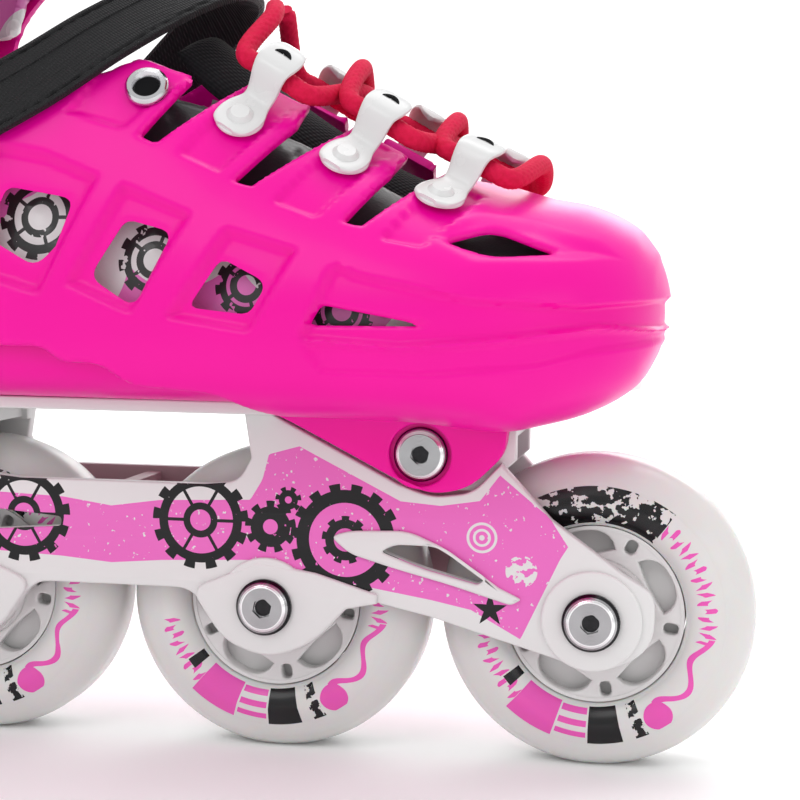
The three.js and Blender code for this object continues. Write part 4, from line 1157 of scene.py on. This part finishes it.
def lace_route():
    def through(i, side, sign):
        point, run, across, out = hook_frame(i)
        sense = sign * math.copysign(1, across[0])
        pts = [point + run * 10.3 + out * 4.4 + across * d * sense for d in (-8.5, -3.5, 3.5, 8.5)]
        return [p * (1, side, 1) for p in pts]

    near, far = 1, -1
    pts = [(47, 2, 170), (49, -8, 166.5), *through(0, near, 1), (68, 0, 150), *through(1, far, 1),
           (90, 0, 143.6),
           *through(2, near, 1), (109, 0, 134), *through(2, far, -1), (90, 0, 138), *through(1, near, -1),
           (68, 0, 155.6), *through(0, far, -1), (47.5, 9, 170.5)]
    return np.array(pts, float)


def smooth_route(pts, step=LACE_STEP):
    """A centripetal curve through points, evenly spaced."""
    out = []
    ext = np.concatenate(([2 * pts[0] - pts[1]], pts, [2 * pts[-1] - pts[-2]]))
    for i in range(len(pts) - 1):
        p = ext[i:i + 4]
        k = np.concatenate(([0], np.cumsum(np.linalg.norm(np.diff(p, axis=0), axis=1) ** 0.5)))
        t = np.linspace(k[1], k[2], 24, endpoint=False)[:, None]
        a = [((k[j + 1] - t) * p[j] + (t - k[j]) * p[j + 1]) / (k[j + 1] - k[j]) for j in range(3)]
        b = [((k[j + 2] - t) * a[j] + (t - k[j]) * a[j + 1]) / (k[j + 2] - k[j]) for j in range(2)]
        out.append((k[2] - t) / (k[2] - k[1]) * b[0] + (t - k[1]) / (k[2] - k[1]) * b[1])
    out = np.concatenate(out + [pts[-1:]])
    run = np.concatenate(([0], np.cumsum(np.linalg.norm(np.diff(out, axis=0), axis=1))))
    even = np.arange(0, run[-1], step)
    return np.stack([np.interp(even, run, out[:, c]) for c in range(3)], axis=1), float(run[-1])


def make_lace():
    """A round braided lace: strands cross in two spirals over its surface."""
    line, length = smooth_route(lace_route())
    ahead = np.gradient(line, axis=0)
    ahead /= np.linalg.norm(ahead, axis=1, keepdims=True)
    side = np.cross(ahead[0], (0, 0, 1.0))
    rows, count = [], 28
    for i, (p, d) in enumerate(zip(line, ahead)):
        side = side - d * np.dot(side, d)
        side /= np.linalg.norm(side)
        up = np.cross(d, side)
        a = np.arange(count) / count * math.tau
        s = i * LACE_STEP
        one = np.abs(np.sin(3.5 * a + s * math.tau / BRAID_PITCH))
        two = np.abs(np.sin(3.5 * a - s * math.tau / BRAID_PITCH))
        r = LACE_R + STRAND * np.maximum(one, two)
        if i < 3 or i > len(line) - 4:
            r = r * 0.7
        rows.append(p + np.cos(a)[:, None] * r[:, None] * side + np.sin(a)[:, None] * r[:, None] * up)
    paint = Paint("lace_braid", 0.8, Specular_IOR_Level=0.25)
    paint.colour(paint.mix((0.5, 0.001, 0.03), (0.74, 0.006, 0.075), paint.noise(900, 3)))
    paint.bump(paint.noise(2600, 2), 0.06)
    add_mesh("lace_braided", swept(rows), paint, "toe_half", ["lace"], 60)
    return length


def make_hooks(ring_metal):
    shade = moulded("hole_shade", BLACK, 0.8, Specular_IOR_Level=0.1)
    paint = moulded("hook_moulded", (0.7, 0.7, 0.7), 0.25, Specular_IOR_Level=0.4)
    for i in range(3):
        shape, slit_faces = hook_shape(i)
        for name, form, node in ((f"hook_near_{i + 1}", shape, f"lace_hook_outer_{i + 1}"),
                                 (f"hook_far_{i + 1}", mirrored(shape), f"lace_hook_inner_{i + 1}")):
            hook = add_mesh(name, form, paint, "toe_half", [node], 40)
            hook.data.materials.append(shade.material)
            for face in list(hook.data.polygons)[-slit_faces:]:
                face.material_index = 1
    for side, node in ((-1, "eyelet_outer"), (1, "eyelet_inner")):
        point, out = on_shell(27.4, 31 * side)
        ring = turned([(2.4, 0.2), (4.8, 0.2), (4.7, 0.9), (4.1, 1.6), (3.2, 1.5), (2.6, 0.8)], 64, "z")
        rim_faces = len(ring[1])
        ring = joined(ring, turned([(0.01, 0.1), (2.7, 0.1), (2.7, 0.4), (0.01, 0.4)], 48, "z"))
        tilt = Vector((0, 0, 1)).rotation_difference(Vector(out)).to_matrix()
        verts = np.array([tilt @ Vector(v) for v in ring[0]]) + point
        piece = add_mesh(f"{node}_ring", (verts, ring[1]), ring_metal, "toe_half", [node],
                         40)
        piece.data.materials.append(shade.material)
        for face in list(piece.data.polygons)[rim_faces:]:
            face.material_index = 1


# ---- Straps ----
def band(half_path, outward_at, wide, thick, profile=None, smooth_step=0.8):
    """A strap through a half path and its mirror image, facing the way that outward_at says."""
    half = np.array(half_path, float)
    pts = np.concatenate((half, (half * (1, -1, 1))[::-1][1:]))
    line, _ = smooth_route(pts, smooth_step)
    ahead = np.gradient(line, axis=0)
    ahead /= np.linalg.norm(ahead, axis=1, keepdims=True)
    rows = []
    for i, (p, d) in enumerate(zip(line, ahead)):
        out = np.array(outward_at(p), float)
        out -= d * np.dot(out, d)
        out /= np.linalg.norm(out)
        across = np.cross(d, out)
        row = []
        for u, v in (profile(i * smooth_step) if profile else ((-1, 0), (-0.96, 1), (0.96, 1), (1, 0),
                                                               (0.96, -1),
                                                                (-0.96, -1))):
            row.append(p + across * u * wide / 2 + out * v * thick / 2)
        rows.append(row)
    return swept(rows)


def make_straps():
    def web_profile(s):
        pts = [(-1, -0.5), (-0.99, 0.4), (-0.95, 0.85), (-0.86, 1.0), (-0.8, 0.7), (-0.72, 0.95),
               (-0.35, 0.95),
               (-0.33, 0.7), (0.33, 0.7), (0.35, 0.95), (0.72, 0.95), (0.8, 0.7), (0.86, 1.0), (0.95, 0.85),
               (0.99, 0.4), (1, -0.5), (0.9, -1), (-0.9, -1)]
        stitch = 0.25 if (s % 3.2) < 1.6 else 0.0
        return [(u, v - (stitch if abs(abs(u) - 0.8) < 0.01 else 0)) for u, v in pts]

    def instep_out(p):
        lean = 1 - abs(p[1]) / 46
        return 0.6 * lean, p[1] / 46, 1.1 * lean

    path = [(-74, -34.8, 116), (-60, -36.4, 121), (-47, -39.6, 126), (-24, -40, 136), (2, -35.4, 150),
            (17, -28, 161),
            (29, -18, 169.6), (35.5, -9, 173.8), (37, 0, 175)]
    web = woven("strap_webbing", (0.008, 0.008, 0.009), 1.1, 0.2, 0.6)
    strap = add_mesh("instep_webbing", band(path, instep_out, 15, 2.2, web_profile), web, "root",
                     ["instep_strap"], 35)
    stripe = moulded("olive_stripe", (0.03, 0.028, 0.012), 0.18)
    strap.data.materials.append(stripe.material)
    sides = len(web_profile(0))
    for face in list(strap.data.polygons)[:-2]:
        if face.index % sides == 8:
            face.material_index = 1

    def ladder_profile(s):
        tooth = 1.0 if (s % 4.0) < 2.2 else 0.45
        return [(-1, 0), (-0.94, 0.9), (-0.6, 0.95), (-0.55, 0.5 + tooth * 0.45),
                (0.55, 0.5 + tooth * 0.45),
                (0.6, 0.95), (0.94, 0.9), (1, 0), (0.94, -1), (-0.94, -1)]

    path = [(-48, -44.8, 206), (-32, -43, 206), (-15, -38.4, 206.5), (1, -30, 207.5), (11.2, -16, 208.5),
            (14.8, 0, 209)]
    trim = moulded("ladder_plastic", (0.008, 0.008, 0.009), 0.35, Specular_IOR_Level=0.35)
    add_mesh("ladder_band", band(path, lambda p: (1 - abs(p[1]) / 46, p[1] / 40, 0), 18, 2.0,
                                 ladder_profile, 0.5),
             trim, "cuff_half", ["ladder_strap"], 35)


def finish_carried(trims):
    """Rounds the edges of the small parts kept as they are, and gives each its material."""
    for node, (paint, width) in trims.items():
        thing = bpy.data.objects[node]
        thing.data.materials.clear()
        thing.data.materials.append(paint.material)
        step = thing.modifiers.new("edge", "BEVEL")
        step.width = width * MM
        step.segments = 3
        step.limit_method = "ANGLE"
        step.angle_limit = math.radians(38)
        step.harden_normals = False


make_camera()
make_stage()
shell_paint = make_toe_shell()
make_base_shell(shell_paint)
make_cuff(shell_paint)
make_liner()
make_tongue()
make_frame()
add_mesh("lug_plates", make_lugs(), shell_paint, "root", [], 40)
make_wheels()
make_fasteners()
make_hooks(metal("ring_chrome", (0.62, 0.62, 0.64), 0.15))
make_lace()
make_straps()
steel = metal("bearing_steel", (0.55, 0.56, 0.58), 0.22, True)
alloy = metal("spacer_alloy", (0.6, 0.6, 0.62), 0.3)
zinc = metal("zinc", (0.62, 0.62, 0.63), 0.25)
black = moulded("trim_plastic", (0.012, 0.012, 0.014), 0.35)
rubber = moulded("brake_rubber", (0.02, 0.02, 0.022), 0.75, 3)
white = moulded("white_plastic", (0.72, 0.72, 0.72), 0.25)
foam = woven("insole_cloth", (0.02, 0.02, 0.025), 1.2)
trims = {"insole": (foam, 0.5), "brake_housing": (black, 0.8), "brake_pad": (rubber, 1.2),
         "brake_screw": (zinc, 0.3),
         "buckle_base": (black, 0.4), "buckle_lever": (white, 0.5), "size_button": (black, 0.5),
         "cuff_rivet_outer": (zinc, 0.6), "cuff_rivet_inner": (zinc, 0.6)}
for i in (1, 2, 3, 4):
    trims |= {f"bearing_{i}_outer": (steel, 0.3), f"bearing_{i}_inner": (steel, 0.3),
              f"bearing_spacer_{i}": (alloy, 0.2),
              f"axle_sleeve_{i}": (alloy, 0.2)}
for end in ("front", "rear"):
    trims[f"mount_sleeve_{end}"] = (alloy, 0.2)
finish_carried(trims)
